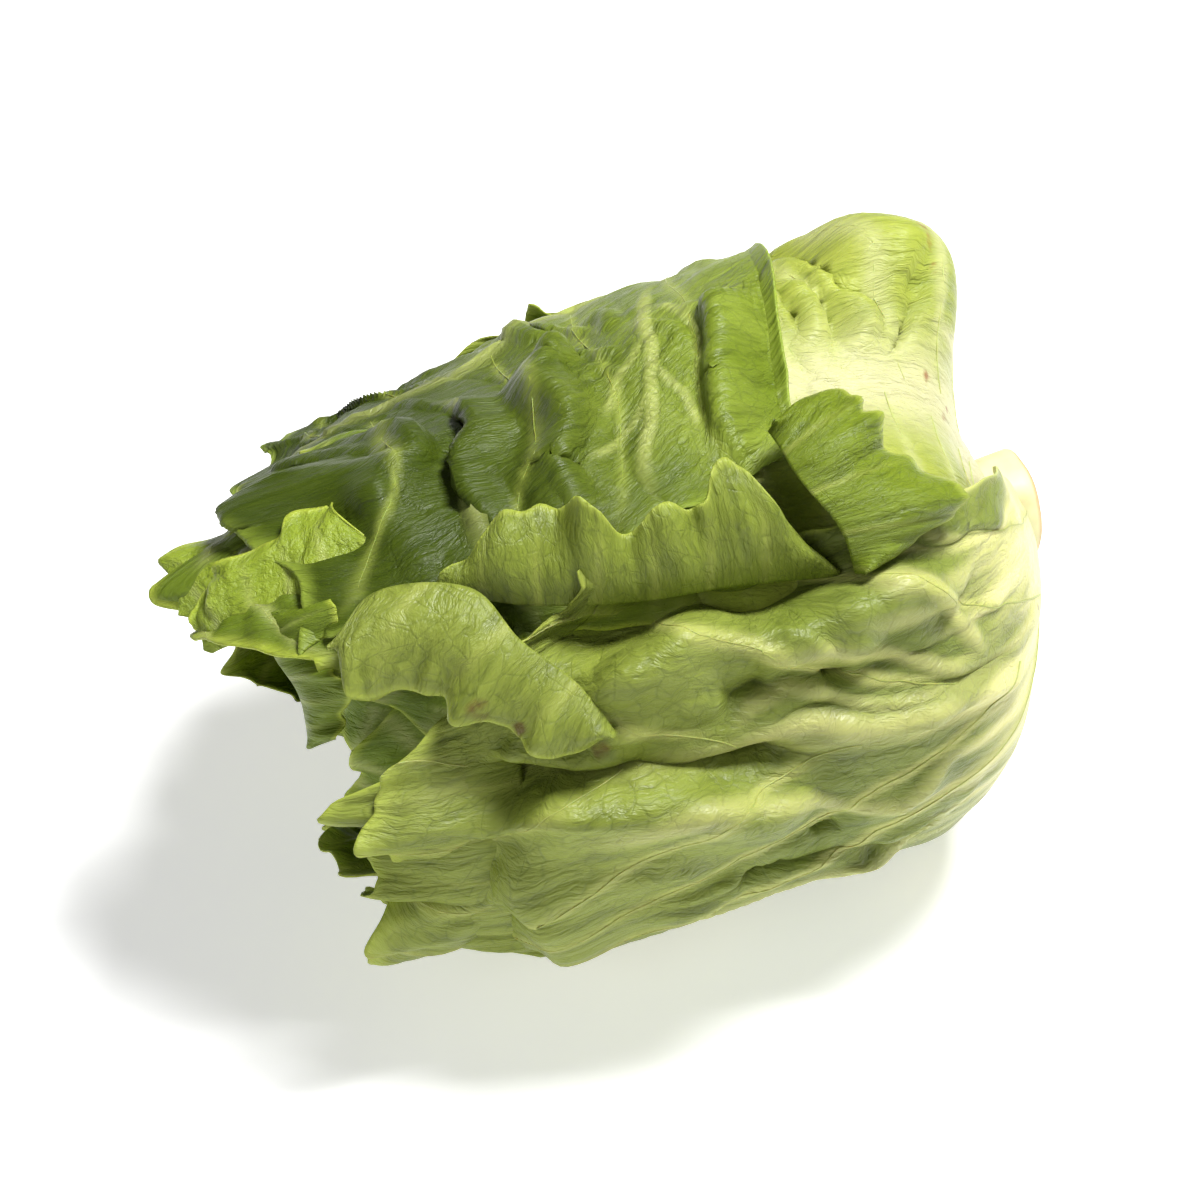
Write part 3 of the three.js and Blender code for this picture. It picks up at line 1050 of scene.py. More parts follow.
    def _spread(self, v: np.ndarray, along: np.ndarray) -> np.ndarray:
        """The angle that each side covers at a share of the leaf's length.

        Args:
            v: Places across the leaf.
            along: Shares of its length.

        Returns:
            Angles in degrees.
        """
        if self.plan.petiole:
            start, stop = self.plan.petiole - PETIOLE_BLEND, self.plan.petiole + PETIOLE_BLEND
            opened = smoothstep(start, stop, along * self.plan.reach)
        else:
            opened = smoothstep(0.0, 0.5, along)
        blade = lerp(self._side(v, "root"), self._side(v, "belly"), opened)
        return lerp(blade, self._side(v, "tip"), smoothstep(0.55, 1.0, along))

    def _sheet(self, u: np.ndarray, v: np.ndarray, folded: bool) -> np.ndarray:
        """The leaf's surface, with the large waves of its margin.

        Args:
            u: Shares of the leaf's length, from root to tip.
            v: Places across it, from -1 at the low margin to 1 at the high one.
            folded: Whether its pleats, folds and creases are in it.

        Returns:
            Points in the head's own frame, in mm.
        """
        plan, head = self.plan, self.head
        across = np.clip(v / EDGE_SHARE, -1.0, 1.0)
        edge = np.maximum(0.0, np.abs(v) - EDGE_SHARE) / (1.0 - EDGE_SHARE)
        along = np.minimum(u / TIP_SHARE, 1.0)
        end = np.maximum(0.0, u - TIP_SHARE) / (1.0 - TIP_SHARE)
        noise = Crumple(plan.seed)
        run = u * plan.reach * 2.0
        teeth = SIDE_TEETH.at(noise, run, np.sign(v) * 3.0 + 0.5, np.sign(v) * 5.0 + 0.3)
        length = self._side(v, "length") * edge * smoothstep(0.0, 0.3, u) * (1.0 + teeth)
        side_along, side_off = bend(length, SIDE_ROLL_RADIUS, self._side(v, "curl"))
        span = self._spread(v, along) * across
        rim = span * np.maximum(sine(plan.reach * along), LEAST_GIRTH) * SURFACE_DEGREE
        tip_teeth = TIP_TEETH.at(noise, rim, np.full_like(u, 0.5), np.full_like(u, 4.5))
        tip_length = plan.tip.length * lerp(1.0, plan.tip.high_share, smoothstep(0.1, 0.8, across))
        tip_along, tip_off = bend(tip_length * end * (1.0 + tip_teeth), TIP_ROLL_RADIUS, plan.tip.curl)
        stem = lerp(STEM_CUT_RADIUS, STEM_TOP_RADIUS, np.clip(plan.depth / STEM_LENGTH, 0.0, 1.0))
        root = np.degrees(np.arcsin((stem + STEM_GAP) / (head.butt - plan.depth)))
        reach = plan.reach - self._side(v, "rounding") * np.abs(across) ** 2.5
        polar = root + (reach - root) * along + np.degrees(tip_along / head.tip)
        girth = head.half_width * np.maximum(sine(polar), LEAST_GIRTH)
        angle = span + np.degrees(np.sign(v) * side_along / girth)
        folds = np.zeros_like(u)
        lean = np.zeros_like(u)
        for pleat in plan.pleats if folded else ():
            profile = pleat.profile(angle, polar)
            folds = folds + pleat.height * profile
            lean = lean + pleat.lean * profile
        azimuth = plan.azimuth + plan.sweep * along * (2.0 - along) + angle
        drift = WAVE_DRIFT * noise.at(run / WAVE_DRIFT_LENGTH, np.zeros_like(v))
        side_wave = np.sin(plan.waves * 2.0 * math.pi * u + plan.phase + np.sign(v) + drift)
        tip_wave = sine(9.0 * azimuth + 80.0 * sine(3.0 * azimuth))
        ruffle = self._side(v, "ruffle") * edge * smoothstep(0.15, 0.4, u) * side_wave
        ruffle = ruffle + plan.tip.ruffle * end * tip_wave
        frill = noise.at(run / SIDE_FRILL_LENGTH, np.sign(v) + 8.5) * edge**2 * self._side(v, "ruffle")
        tip_frill = noise.at(rim / TIP_FRILL_LENGTH, np.full_like(u, 11.5))
        frill = frill + tip_frill * end**2 * plan.tip.ruffle
        x, y = spread_out(polar, azimuth)
        warp = Crumple(plan.seed + Draw.WARP)
        bent_x = x + FOLD_SWAY * warp.at(x / FOLD_SWAY_LENGTH, y / FOLD_SWAY_LENGTH)
        bent_y = y + FOLD_SWAY * warp.at(y / FOLD_SWAY_LENGTH + 9.0, x / FOLD_SWAY_LENGTH)
        self.fan = np.zeros_like(u)
        for fold in plan.folds + self._creases(polar, azimuth) if folded else ():
            height, shift_x, shift_y = fold.shape(bent_x, bent_y)
            folds = folds + height
            self.fan = np.maximum(self.fan, fold.pale * height / fold.height)
            polar = polar + shift_x / SURFACE_DEGREE
            lean = lean + shift_y / SURFACE_DEGREE / np.maximum(sine(polar), LEAST_GIRTH)
        way = direction(polar, azimuth + lean)
        off = side_off + tip_off + folds + ruffle + frill
        return way * (head.layer(way, plan.depth) + off)[..., None]

    def _creases(self, polar: np.ndarray, azimuth: np.ndarray) -> tuple[Fold, ...]:
        """Small creases scattered over the leaf, most of them along one direction.

        Args:
            polar: Angles of the leaf's points from the butt, in degrees.
            azimuth: Their azimuths.

        Returns:
            The creases as folds.
        """
        veins = self.plan.veins
        chance = np.random.default_rng(self.plan.seed + Draw.CREASES)
        rows, columns = polar.shape
        made = []
        for _ in range(veins.creases):
            row = int(chance.uniform(*CREASE_ROWS) * rows)
            column = int(chance.uniform(*CREASE_COLUMNS) * columns)
            start = (float(polar[row, column]), float(azimuth[row, column]))
            turn = math.radians(veins.crease_turn + chance.normal(0.0, CREASE_TURN_SPREAD))
            size = chance.uniform(*CREASE_SIZES) * veins.crease_reach
            bow = chance.normal(0.0, CREASE_BOW) * size
            girth = max(math.sin(math.radians(start[0])), LEAST_GIRTH)
            path = [
                (
                    start[0] + size * k * math.cos(turn) - bow * (1.0 - k * k) * math.sin(turn),
                    start[1] + (size * k * math.sin(turn) + bow * (1.0 - k * k) * math.cos(turn)) / girth,
                )
                for k in (-0.5, 0.0, 0.5)
            ]
            height = veins.crease_depth * chance.uniform(*CREASE_HEIGHTS) * chance.choice(CREASE_SIGNS)
            width = chance.uniform(*CREASE_WIDTHS)
            lean = chance.normal(0.0, CREASE_LEAN) * abs(height)
            made.append(Fold(tuple(path), height, width, lean))
        return tuple(made)

    def _measure(self, points: np.ndarray, columns: np.ndarray) -> None:
        """Lays the leaf out flat: the distance along its rib and across from it, in mm.

        Args:
            points: The leaf's smooth surface, in mm.
            columns: The places across that its columns lie at.
        """
        rib = int(np.argmin(np.abs(columns)))
        steps = np.linalg.norm(np.diff(points[:, rib], axis=0), axis=-1)
        length = np.concatenate([[0.0], np.cumsum(steps)])
        widths = np.linalg.norm(np.diff(points, axis=1), axis=-1)
        across = np.concatenate([np.zeros((len(points), 1)), np.cumsum(widths, axis=1)], axis=1)
        self.t = across - across[:, rib : rib + 1]
        self.s = np.broadcast_to(length[:, None], self.t.shape)

    def _vein_place(self, s: np.ndarray, t: np.ndarray) -> np.ndarray:
        """Where the side vein through a point leaves the rib.

        Args:
            s: Distances along the rib, in mm.
            t: Distances across from it, in mm.

        Returns:
            Distances along the rib, in mm.
        """
        veins = self.plan.veins
        sway = Crumple(self.plan.seed + Draw.SWAY).at(s / VEIN_SWAY_LENGTH, t / VEIN_SWAY_LENGTH)
        return s - veins.slope * np.abs(t) + VEIN_SWAY * sway + 0.5 * veins.spacing * (t > 0)

    def _vein_marks(self) -> np.ndarray:
        """The places along the rib where side veins leave it, unevenly spaced.

        Returns:
            Distances along the rib, in mm.
        """
        spacing = self.plan.veins.spacing
        longest = float(self.s.max())
        chance = np.random.default_rng(self.plan.seed + Draw.VEINS)
        count = int((longest - FIRST_VEIN) / spacing) + 1
        return FIRST_VEIN + spacing * (np.arange(count) + 0.35 * (chance.random(count) - 0.5))

    def _relief(self, u: np.ndarray, v: np.ndarray, points: np.ndarray) -> np.ndarray:
        """How far the leaf's surface stands out from its smooth sheet, in mm.

        Args:
            u: Shares of the leaf's length.
            v: Places across it.
            points: The smooth sheet.

        Returns:
            Heights in mm.
        """
        plan = self.plan
        place = self._vein_place(self.s, self.t)
        marks = self._vein_marks()
        slot = np.clip(np.searchsorted(marks, place), 1, len(marks) - 1)
        before, after = marks[slot - 1], marks[slot]
        share = np.clip((place - before) / (after - before), 0.0, 1.0)
        fall = math.hypot(1.0, plan.veins.slope)
        gap = np.minimum(np.abs(place - before), np.abs(place - after)) / fall
        inside = smoothstep(1.0, 0.8, np.abs(v)) * smoothstep(0.12, 0.4, u) * smoothstep(1.0, 0.8, u)
        pillow = plan.veins.pillow * (1.0 - np.abs(2.0 * share - 1.0) ** 2.2) * inside
        noise = Crumple(plan.seed + Draw.RELIEF)
        ball = Crumple(SWELLING_SEED)
        way = unit(points)
        broad = ball.round(way, 3.6) + 0.5 * ball.round(way, 8.0)
        fine = noise.over(self.t, self.s, CRUMPLE_LENGTHS)
        fine = fine + 0.6 * noise.over(self.t, self.s, FINE_CRUMPLE_LENGTHS)
        across, along = RIDGE_LENGTHS
        ridge = 1.0 - np.abs(noise.at(self.t / across + 9.0, self.s / along))
        crumple = plan.veins.crumple * smoothstep(0.08, 0.45, u)
        rib_width = lerp(plan.rib_half_width, RIB_END, np.minimum(u * 1.15, 1.0))
        self.rib = bell(self.t / rib_width) * (1.0 - u) ** 0.9
        off_rib = smoothstep(4.0, 12.0, np.abs(self.t))
        self.vein = bell(gap / VEIN_WIDTH) * off_rib * (1.0 - smoothstep(0.6, 1.0, np.abs(v)))
        rise = pillow + crumple * (0.75 * (broad - 0.6) + 0.2 * fine + 0.3 * ridge**3)
        rise = rise + plan.rib_height * self.rib + 0.5 * self.vein
        return rise * (1.0 - plan.covered * smoothstep(0.26, 0.36, u) * smoothstep(0.86, 0.76, u))

    def _rust(self, points: np.ndarray) -> np.ndarray:
        """How rusty the leaf is at points of its surface.

        Args:
            points: Points in the head's own frame, in mm.

        Returns:
            Shares from 0 to 1.
        """
        rust = np.zeros(points.shape[:-1])
        for spot in self.plan.spots:
            target = direction(np.float64(spot.polar), np.float64(spot.azimuth))
            away = np.arccos(np.clip(unit(points) @ target, -1.0, 1.0)) * self.head.half_width
            rust = np.maximum(rust, bell(away / spot.size))
        return rust

    def _marks(self, u: np.ndarray, v: np.ndarray) -> dict[str, tuple[np.ndarray, np.ndarray]]:
        """Where the blade is pale, thin, veined and rusty, on its outer and its inner face.

        Args:
            u: Shares of the leaf's length.
            v: Places across it.

        Returns:
            Each mark's shares on the outer and the inner face.
        """
        plan = self.plan
        noise = Crumple(plan.seed + Draw.PALE)
        ragged = 0.35 * noise.over(self.t, self.s, RAGGED_LENGTHS)
        ragged = ragged + 0.25 * noise.over(self.t, self.s, FINE_RAGGED_LENGTHS)
        root = 1.0 - smoothstep(0.35, 1.15, u / plan.pale_reach + ragged)
        fingers = self.vein * (1.0 - smoothstep(0.6, 2.4, u / plan.pale_reach))
        ribbed = plan.rib_pale * self.rib**0.6
        pale = np.clip(np.maximum.reduce([root, ribbed, 0.8 * fingers, self.fan]), 0.0, 1.0)
        margin = np.maximum(smoothstep(0.95, 1.0, np.abs(v)), smoothstep(0.96, 1.0, u)) * 0.8
        # Towards its far end the blade turns to the tip colour, which on the top leaf is painted shade
        tip = smoothstep(0.45, 0.75, u)
        rust = self._rust(self.outer)
        return {
            "pale": (pale, pale),
            "margin": (margin, margin),
            "vein": (0.6 * self.vein, 0.4 * self.vein),
            "inside": (np.zeros_like(u), np.ones_like(u)),
            "rust": (rust, rust),
            "tip": (tip, tip),
        }

    def dress(self) -> bpy.types.Object:
        """Lays the leaf's side veins on its outer face, as thin tapered tubes.

        Returns:
            The veins' piece.
        """
        lines: list[np.ndarray] = []
        radii: list[np.ndarray] = []
        rows = np.arange(len(self.s))
        length = self.s[:, 0]
        veins = self.plan.veins
        noise = Crumple(self.plan.seed + Draw.SWAY)
        for mark in self._vein_marks():
            for side in (-1.0, 1.0):
                reach = np.zeros(len(rows))
                shift = 0.5 * veins.spacing * (side > 0)
                for _ in range(VEIN_STEPS):
                    sway = noise.at(length / VEIN_SWAY_LENGTH, side * reach / VEIN_SWAY_LENGTH)
                    reach = np.maximum((length - mark + VEIN_SWAY * sway + shift) / veins.slope, 0.0)
                line, radius = self._trace(rows, side * reach, mark)
                if len(line) > LEAST_VEIN_POINTS:
                    lines.append(line)
                    radii.append(radius)
        tubes = VeinTubes(self.plan.name + "_veins", self.kind.value.vein_material())
        piece = tubes.build([self._placed(line) for line in lines], [r * MILLIMETRE for r in radii])
        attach(piece, "root")
        return piece

    def _trace(self, rows: np.ndarray, reach: np.ndarray, mark: float) -> tuple[np.ndarray, np.ndarray]:
        """Follows one vein over the outer face.

        Args:
            rows: The numbers of the leaf's rows.
            reach: How far across each row the vein lies, in mm.
            mark: Where the vein leaves the rib, in mm.

        Returns:
            The vein's points and its radius at each, in mm.
        """
        points: list[list[float]] = []
        widths: list[float] = []
        for row in rows:
            across = self.t[row]
            limit = TUBE_STOP * (across[-1] if reach[row] > 0 else -across[0])
            if abs(reach[row]) < TUBE_START or abs(reach[row]) > limit:
                continue
            points.append([np.interp(reach[row], across, self.outer[row, :, axis]) for axis in range(3)])
            widths.append(1.0 - abs(reach[row]) / limit)
        if not points:
            return np.zeros((0, 3)), np.zeros(0)
        taper = np.array(widths)
        lengthwise = 1.0 - 0.5 * mark / float(self.s.max())
        radii = TUBE_END_RADIUS + TUBE_SWELL * taper**0.8 * lengthwise
        return np.array(points), self.plan.veins.tube * radii


def node_tree(name: str, inputs: dict[str, str]) -> bpy.types.NodeTree:
    """Makes a geometry node tree that has no nodes yet.

    Args:
        name: The tree's name.
        inputs: The socket type of each named input.

    Returns:
        The new tree.
    """
    tree = bpy.data.node_groups.new(name, "GeometryNodeTree")
    tree.interface.new_socket("Geometry", in_out="INPUT", socket_type="NodeSocketGeometry")
    tree.interface.new_socket("Geometry", in_out="OUTPUT", socket_type="NodeSocketGeometry")
    for label, kind in inputs.items():
        tree.interface.new_socket(label, in_out="INPUT", socket_type=kind)
    return tree


def grown(
    carrier: bpy.types.Object, tree: bpy.types.NodeTree, values: dict[str, object]
) -> bpy.types.Object:
    """Runs a node tree on a carrier and keeps what it makes as the carrier's own smooth mesh.

    Args:
        carrier: The object whose mesh the tree starts from.
        tree: The geometry node tree.
        values: The tree's inputs by name.

    Returns:
        The carrier, with a plain mesh and no modifier.
    """
    modifier = carrier.modifiers.new(tree.name, "NODES")
    modifier.node_group = tree
    for item in tree.interface.items_tree:
        if item.name in values:
            modifier[item.identifier] = values[item.name]
    made = bpy.data.meshes.new_from_object(carrier.evaluated_get(bpy.context.evaluated_depsgraph_get()))
    carrier.modifiers.clear()
    carrier.data = made
    made.polygons.foreach_set("use_smooth", np.ones(len(made.polygons), dtype=bool))
    return carrier


@dataclass(frozen=True)
class VeinTubes:
    """Thin tubes along lines, as a leaf's side veins stand on its outer face."""

    name: str
    material: bpy.types.Material
    sides: int = 6

    def build(self, lines: list[np.ndarray], radii: list[np.ndarray]) -> bpy.types.Object:
        """Runs a tube along each line.

        Args:
            lines: Points of each line, in metres.
            radii: The tube's radius at each point, in metres.

        Returns:
            One mesh piece with all the tubes.
        """
        points = np.concatenate(lines)
        edges: list[tuple[int, int]] = []
        first = 0
        for line in lines:
            edges.extend((first + i, first + i + 1) for i in range(len(line) - 1))
            first += len(line)
        mesh = bpy.data.meshes.new(self.name)
        mesh.from_pydata(points.tolist(), edges, [])
        width = mesh.attributes.new("width", "FLOAT", "POINT")
        width.data.foreach_set("value", np.concatenate(radii).astype(np.float32))
        carrier = bpy.data.objects.new(self.name, mesh)
        bpy.context.collection.objects.link(carrier)
        return grown(carrier, self._tree(), {"Sides": self.sides, "Skin": self.material})

    @staticmethod
    @cache
    def _tree() -> bpy.types.NodeTree:
        """The node tree that turns edges into tapered tubes.

        Returns:
            A tree with the inputs Sides and Skin.
        """
        tree = node_tree("Vein tubes", {"Sides": "NodeSocketInt", "Skin": "NodeSocketMaterial"})
        source = add(tree, "NodeGroupInput").outputs
        strand = add(tree, "GeometryNodeMeshToCurve", {"Mesh": source["Geometry"]})
        width = add(tree, "GeometryNodeInputNamedAttribute", {"Name": "width"}, data_type="FLOAT")
        sized = add(
            tree,
            "GeometryNodeSetCurveRadius",
            {"Curve": strand.outputs["Curve"], "Radius": width.outputs["Attribute"]},
        )
        ring = add(tree, "GeometryNodeCurvePrimitiveCircle", {"Resolution": source["Sides"], "Radius": 1.0})
        tube = add(
            tree,
            "GeometryNodeCurveToMesh",
            {
                "Curve": sized.outputs["Curve"],
                "Profile Curve": ring.outputs["Curve"],
                "Scale": width.outputs["Attribute"],
                "Fill Caps": True,
            },
        )
        whole = add(tree, "GeometryNodeRealizeInstances", {"Geometry": tube.outputs["Mesh"]})
        dressed = add(
            tree,
            "GeometryNodeSetMaterial",
            {"Geometry": whole.outputs["Geometry"], "Material": source["Skin"]},
        )
        add(tree, "NodeGroupOutput", {0: dressed.outputs["Geometry"]})
        return tree


HEART_SIDE = Side(74.0, 74.0, 66.0, 14.0, 4.0, 0.0, 0.8)
HEART_TIP = Tip(20.0, 4.0, 3.5)
OUTER_GRID = Grid(100, 28, 10, 100, 12)
HEART_GRID = Grid(50, 20, 6, 60, 6)

OUTER_LEAVES = (
    (LeafKind.OUTER, LeafPlan(
        "under_leaf", "outer_leaf", 264.0, 0.0, 0.0, 108.0,
        Side(40.0, 25.0, 22.0, 24.0, 8.0, 8.0, 0.2), Side(38.0, 36.0, 30.0, 24.0, 8.0, 4.0, 1.0),
        Tip(22.0, 0.0, 1.5), 4.0, 0.4, OUTER_GRID, Venation(26.0, 1.3, 1.2, 1.0, 20), 101,
    )),
    (LeafKind.OUTER, LeafPlan(
        "front_leaf", "outer_leaf", 10.0, 2.0, 5.0, 131.0,
        Side(58.0, 56.0, 46.0, 2.0, 12.0, 4.0, 1.5), Side(46.0, 29.0, 30.0, 16.0, 4.0, 0.0, 0.3),
        Tip(46.0, 22.0, 9.0, 0.3), 7.0, 1.1, Grid(150, 46, 12, 140, 24),
        Venation(62.0, 2.6, 0.4, 1.7, 90, 0.0, 1.5, 36.0, 0.45), 211,
        pleats=(Pleat(-40.0, 2.0, 19.0, 0.0, 100.0, 132.0),),
        folds=(
            Fold(((60, 29), (73, 30), (83, 29), (96, 26), (103, 27), (115, 26), (127, 25)), 11.0, 7.0, 4.0),
            Fold(((76, 36), (87, 34), (96, 33), (105, 34), (113, 34), (122, 35), (131, 39)), -17.0, 8.0),
            Fold(((140, 14), (126, 12), (115, 13), (100, 11), (90, 9)), -12.0, 5.0),
            Fold(((132, 5), (124, 6), (115, 5), (109, 3), (100, 0), (88, -2)), 10.0, 7.0, -5.0),
            Fold(((57, 7), (76, 12), (91, 14), (100, 14), (109, 14), (117, 14)), 1.8, 2.2, 0.0, 0.45),
            Fold(((61, 11), (83, 16), (92, 19), (98, 18), (104, 15)), 1.4, 1.8, 0.0, 0.3),
            Fold(((58, 12), (68, 17), (74, 22), (80, 24), (86, 24), (97, 24)), 1.8, 2.2, 0.0, 0.4),
            Fold(
                ((56, 4), (67, 0), (75, -5), (83, -3), (95, 1), (101, 3), (113, 3), (124, 2)),
                1.8, 2.2, 0.0, 0.35,
            ),
            Fold(((56, 14), (62, 23), (65, 28), (71, 31), (80, 31)), 2.0, 2.6, 0.0, 0.5),
            Fold(((56, -10), (72, -20), (90, -23), (110, -26), (124, -30)), 2.0, 2.4, 0.0, 0.35),
            Fold(((133, 0), (125, -10), (119, -34)), 7.0, 8.0, 5.0),
            Fold(((128, -4), (132, -16), (132, -34)), -4.0, 5.0),
            Fold(((70, -24), (95, -20), (118, -22)), 5.0, 9.0, 4.0),
            Fold(((82, 21), (88, 20)), -5.0, 2.4),
            Fold(((94, 21), (103, 21)), -4.0, 3.0),
            Fold(((84, -7), (90, -9)), -5.0, 2.4),
            Fold(((92, -13), (101, -16)), -4.0, 3.0),
        ),
        lobes=(
            Lobe(
                ((79, 35, 8), (81, 42, 12), (85, 51, 12), (85, 60, 8)),
                (
                    (75, 33, 11), (69, 38, 7), (62, 43, 12), (65, 51, 5), (71, 56, 12), (71, 66, 10),
                    (79, 67, 14),
                ),
                4.0, 4.5, 0.8,
            ),
            Lobe(
                ((146, 42, 10), (142, 50, 8), (132, 46, 8), (127, 36, 9), (121, 28, 9), (117, 20, 8)),
                ((146, 37, 10), (144, 33, 10), (139, 31, 10), (134, 26, 10), (126, 20, 9), (117, 16, 9)),
                3.5, 4.5,
            ),
            Lobe(
                ((80, 35, 0), (97, 37, 0), (112, 38, 0), (126, 41, 0), (137, 47, 2)),
                (
                    (82, 46, 6), (89, 50, 12), (95, 54, 16), (100, 50, 10), (106, 51, 15), (111, 48, 8),
                    (115, 53, 15), (121, 55, 9), (126, 57, 16), (131, 55, 10), (137, 61, 13),
                ),
                2.0, 4.0, 0.25, 7.0,
            ),
            Lobe(
                ((132, 20, -8), (130, 6, -5), (128, -10, -4), (124, -24, -4), (118, -32, -4)),
                (
                    (146, 20, 9), (148, 10, 13), (145, -2, 8), (147, -12, 13), (143, -21, 8), (139, -29, 12),
                    (130, -36, 9),
                ),
                3.0, 4.5, 0.0, 7.0,
            ),
        ),
        spots=(
            Spot(119, 17, 4.0), Spot(132, 27, 3.5), Spot(128, 23, 2.5), Spot(37, 13, 2.0), Spot(36, 8, 2.0),
            Spot(37, 4, 2.0),
        ),
        rib_half_width=8.0, rib_height=1.5, rib_pale=0.3, pale_reach=0.38,
    )),
    (LeafKind.OUTER, LeafPlan(
        "back_leaf", "outer_leaf", 206.0, -4.0, 5.0, 116.0,
        Side(54.0, 44.0, 34.0, 30.0, 12.0, 6.0, 1.0), Side(46.0, 40.0, 32.0, 14.0, 10.0, 0.0, 0.2),
        Tip(26.0, 8.0, 2.5), 5.0, 2.3, OUTER_GRID, Venation(26.0, 1.6, 1.2, 3.0, 40), 307,
        pleats=(
            Pleat(-22.0, 7.0, 8.0, 3.0, 50.0, 85.0, 1.5),
            Pleat(2.0, 3.0, 6.0, 0.0, 30.0, 60.0),
            Pleat(5.0, 4.0, 7.0, -4.0, 55.0, 90.0),
        ),
    )),
    (LeafKind.TOP, LeafPlan(
        "top_leaf", "top_leaf", 198.0, -58.0, 10.0, 148.0,
        Side(6.0, 90.0, 88.0, 6.0, 9.0, 18.0, 2.5), Side(24.0, 28.0, 24.0, 18.0, 8.0, 4.0, 1.2),
        Tip(30.0, 4.0, 5.0), 4.0, 0.2, Grid(150, 30, 12, 170, 12),
        Venation(36.0, 0.3, 1.5, 1.5, 50, 82.0, 1.5, 34.0, 0.4), 401, petiole=64.0,
        folds=(
            Fold(((132, 122), (138, 78), (138, 55)), -3.0, 4.0, 0.0),
            Fold(((130, 122), (135, 78), (135, 52)), 4.0, 3.0, -3.0, 0.45),
            Fold(((111, 124), (118, 92), (121, 65), (116, 48)), 11.0, 8.0, -8.0),
            Fold(((78, 137), (92, 97), (100, 77), (108, 52)), 0.9, 1.6, 0.0, 0.6),
            Fold(((92, 97), (104, 90), (112, 80)), 0.6, 1.3, 0.0, 0.45),
            Fold(((98, 82), (108, 72), (114, 64)), 0.6, 1.3, 0.0, 0.45),
            Fold(((86, 112), (84, 92), (86, 76)), 0.6, 1.3, 0.0, 0.45),
            Fold(((96, 87), (92, 76), (95, 66)), 0.6, 1.3, 0.0, 0.45),
            Fold(((126, 112), (131, 79), (131, 55)), 6.0, 5.0, 4.0),
            Fold(((142, 118), (146, 80), (147, 60)), 10.0, 5.0, -8.0),
            Fold(((150, 116), (153, 84), (156, 66)), 9.0, 5.0, 7.0),
            Fold(((74, 106), (82, 76), (94, 58)), 8.0, 7.0, 8.0),
        ),
        spots=(Spot(133, 108, 1.6), Spot(135, 88, 1.6)),
        pale_reach=0.2, rib_half_width=6.0, rib_pale=0.7,
    )),
    (LeafKind.OUTER, LeafPlan(
        "lower_leaf", "outer_leaf", 312.0, 0.0, 10.0, 148.0,
        Side(52.0, 56.0, 46.0, 26.0, 8.0, 0.0, 1.0), Side(46.0, 50.0, 46.0, 26.0, 8.0, 0.0, 1.0),
        Tip(34.0, 4.0, 6.0), 5.0, 1.7, OUTER_GRID, Venation(26.0, 1.5, 1.2, 2.0, 24), 503,
    )),
    (LeafKind.SHOULDER, LeafPlan(
        "shoulder_leaf", "top_leaf", 70.0, 12.0, 15.0, 158.0,
        Side(62.0, 46.0, 42.0, 20.0, 8.0, 0.0, 1.0), Side(54.0, 54.0, 44.0, 20.0, 8.0, 0.0, 1.0),
        Tip(40.0, 6.0, 7.0), 4.0, 2.9, Grid(140, 30, 10, 140, 10),
        Venation(14.0, 0.3, 3.0, 2.0, 60, 75.0, 1.8, 24.0, 0.3), 601,
        folds=(
            Fold(((68, 122), (60, 119), (57, 110), (55, 100), (51, 92), (50, 86)), -6.0, 3.0, 2.0),
            Fold(((62, 126), (57, 120), (54, 111), (51, 101), (47, 95)), 5.0, 4.0, 3.0),
            Fold(((50, 99), (46, 94), (47, 87), (50, 82)), -6.0, 3.0),
            Fold(((66, 112), (63, 99), (62, 90)), -3.0, 2.4),
            Fold(((61, 111), (58, 96), (56, 85)), -3.0, 2.4),
            Fold(((58, 106), (55, 94), (53, 84)), 3.0, 2.4),
            Fold(((65, 108), (61, 97), (59, 88)), 3.0, 2.4),
        ),
        lobes=(
            Lobe(
                ((150, 84, 2), (157, 78, 2), (163, 78, 2), (168, 80, 2)),
                ((150, 112, 9), (155, 116, 12), (160, 116, 8), (164, 112, 12), (168, 104, 9)),
                2.0, 6.0, 0.8, 5.0,
            ),
            Lobe(
                ((146, 64, 2), (153, 56, 2), (159, 52, 2), (164, 52, 2)),
                ((147, 80, 9), (151, 84, 13), (156, 80, 8), (160, 80, 13), (166, 70, 9)), 2.0, 6.0, 0.8, 5.0,
            ),
            Lobe(
                ((158, 56, 2), (157, 44, 2), (155, 32, 2), (155, 18, 2)),
                ((149, 57, 9), (147, 49, 13), (150, 42, 8), (147, 33, 13), (150, 26, 8), (149, 18, 11)),
                2.0, 4.0, 0.9, 6.0,
            ),
        ),
        spots=(
            Spot(43, 78, 3.0), Spot(38, 70, 3.0), Spot(36, 73, 2.0), Spot(53, 116, 2.5), Spot(51, 112, 2.5),
            Spot(50, 108, 2.5), Spot(48, 104, 2.5), Spot(47, 101, 2.5), Spot(45, 98, 2.0),
        ),
        rib_half_width=17.0, rib_height=4.0, pale_reach=0.16, covered=0.9,
    )),
    (LeafKind.OUTER, LeafPlan(
        "rear_leaf", "outer_leaf", 214.0, -10.0, 15.0, 154.0,
        Side(50.0, 54.0, 46.0, 24.0, 8.0, 0.0, 1.0), Side(50.0, 54.0, 46.0, 24.0, 8.0, 0.0, 1.0),
        Tip(28.0, 6.0, 4.0), 5.0, 0.9, OUTER_GRID, Venation(26.0, 1.5, 1.2, 1.6, 24), 701,
    )),
)


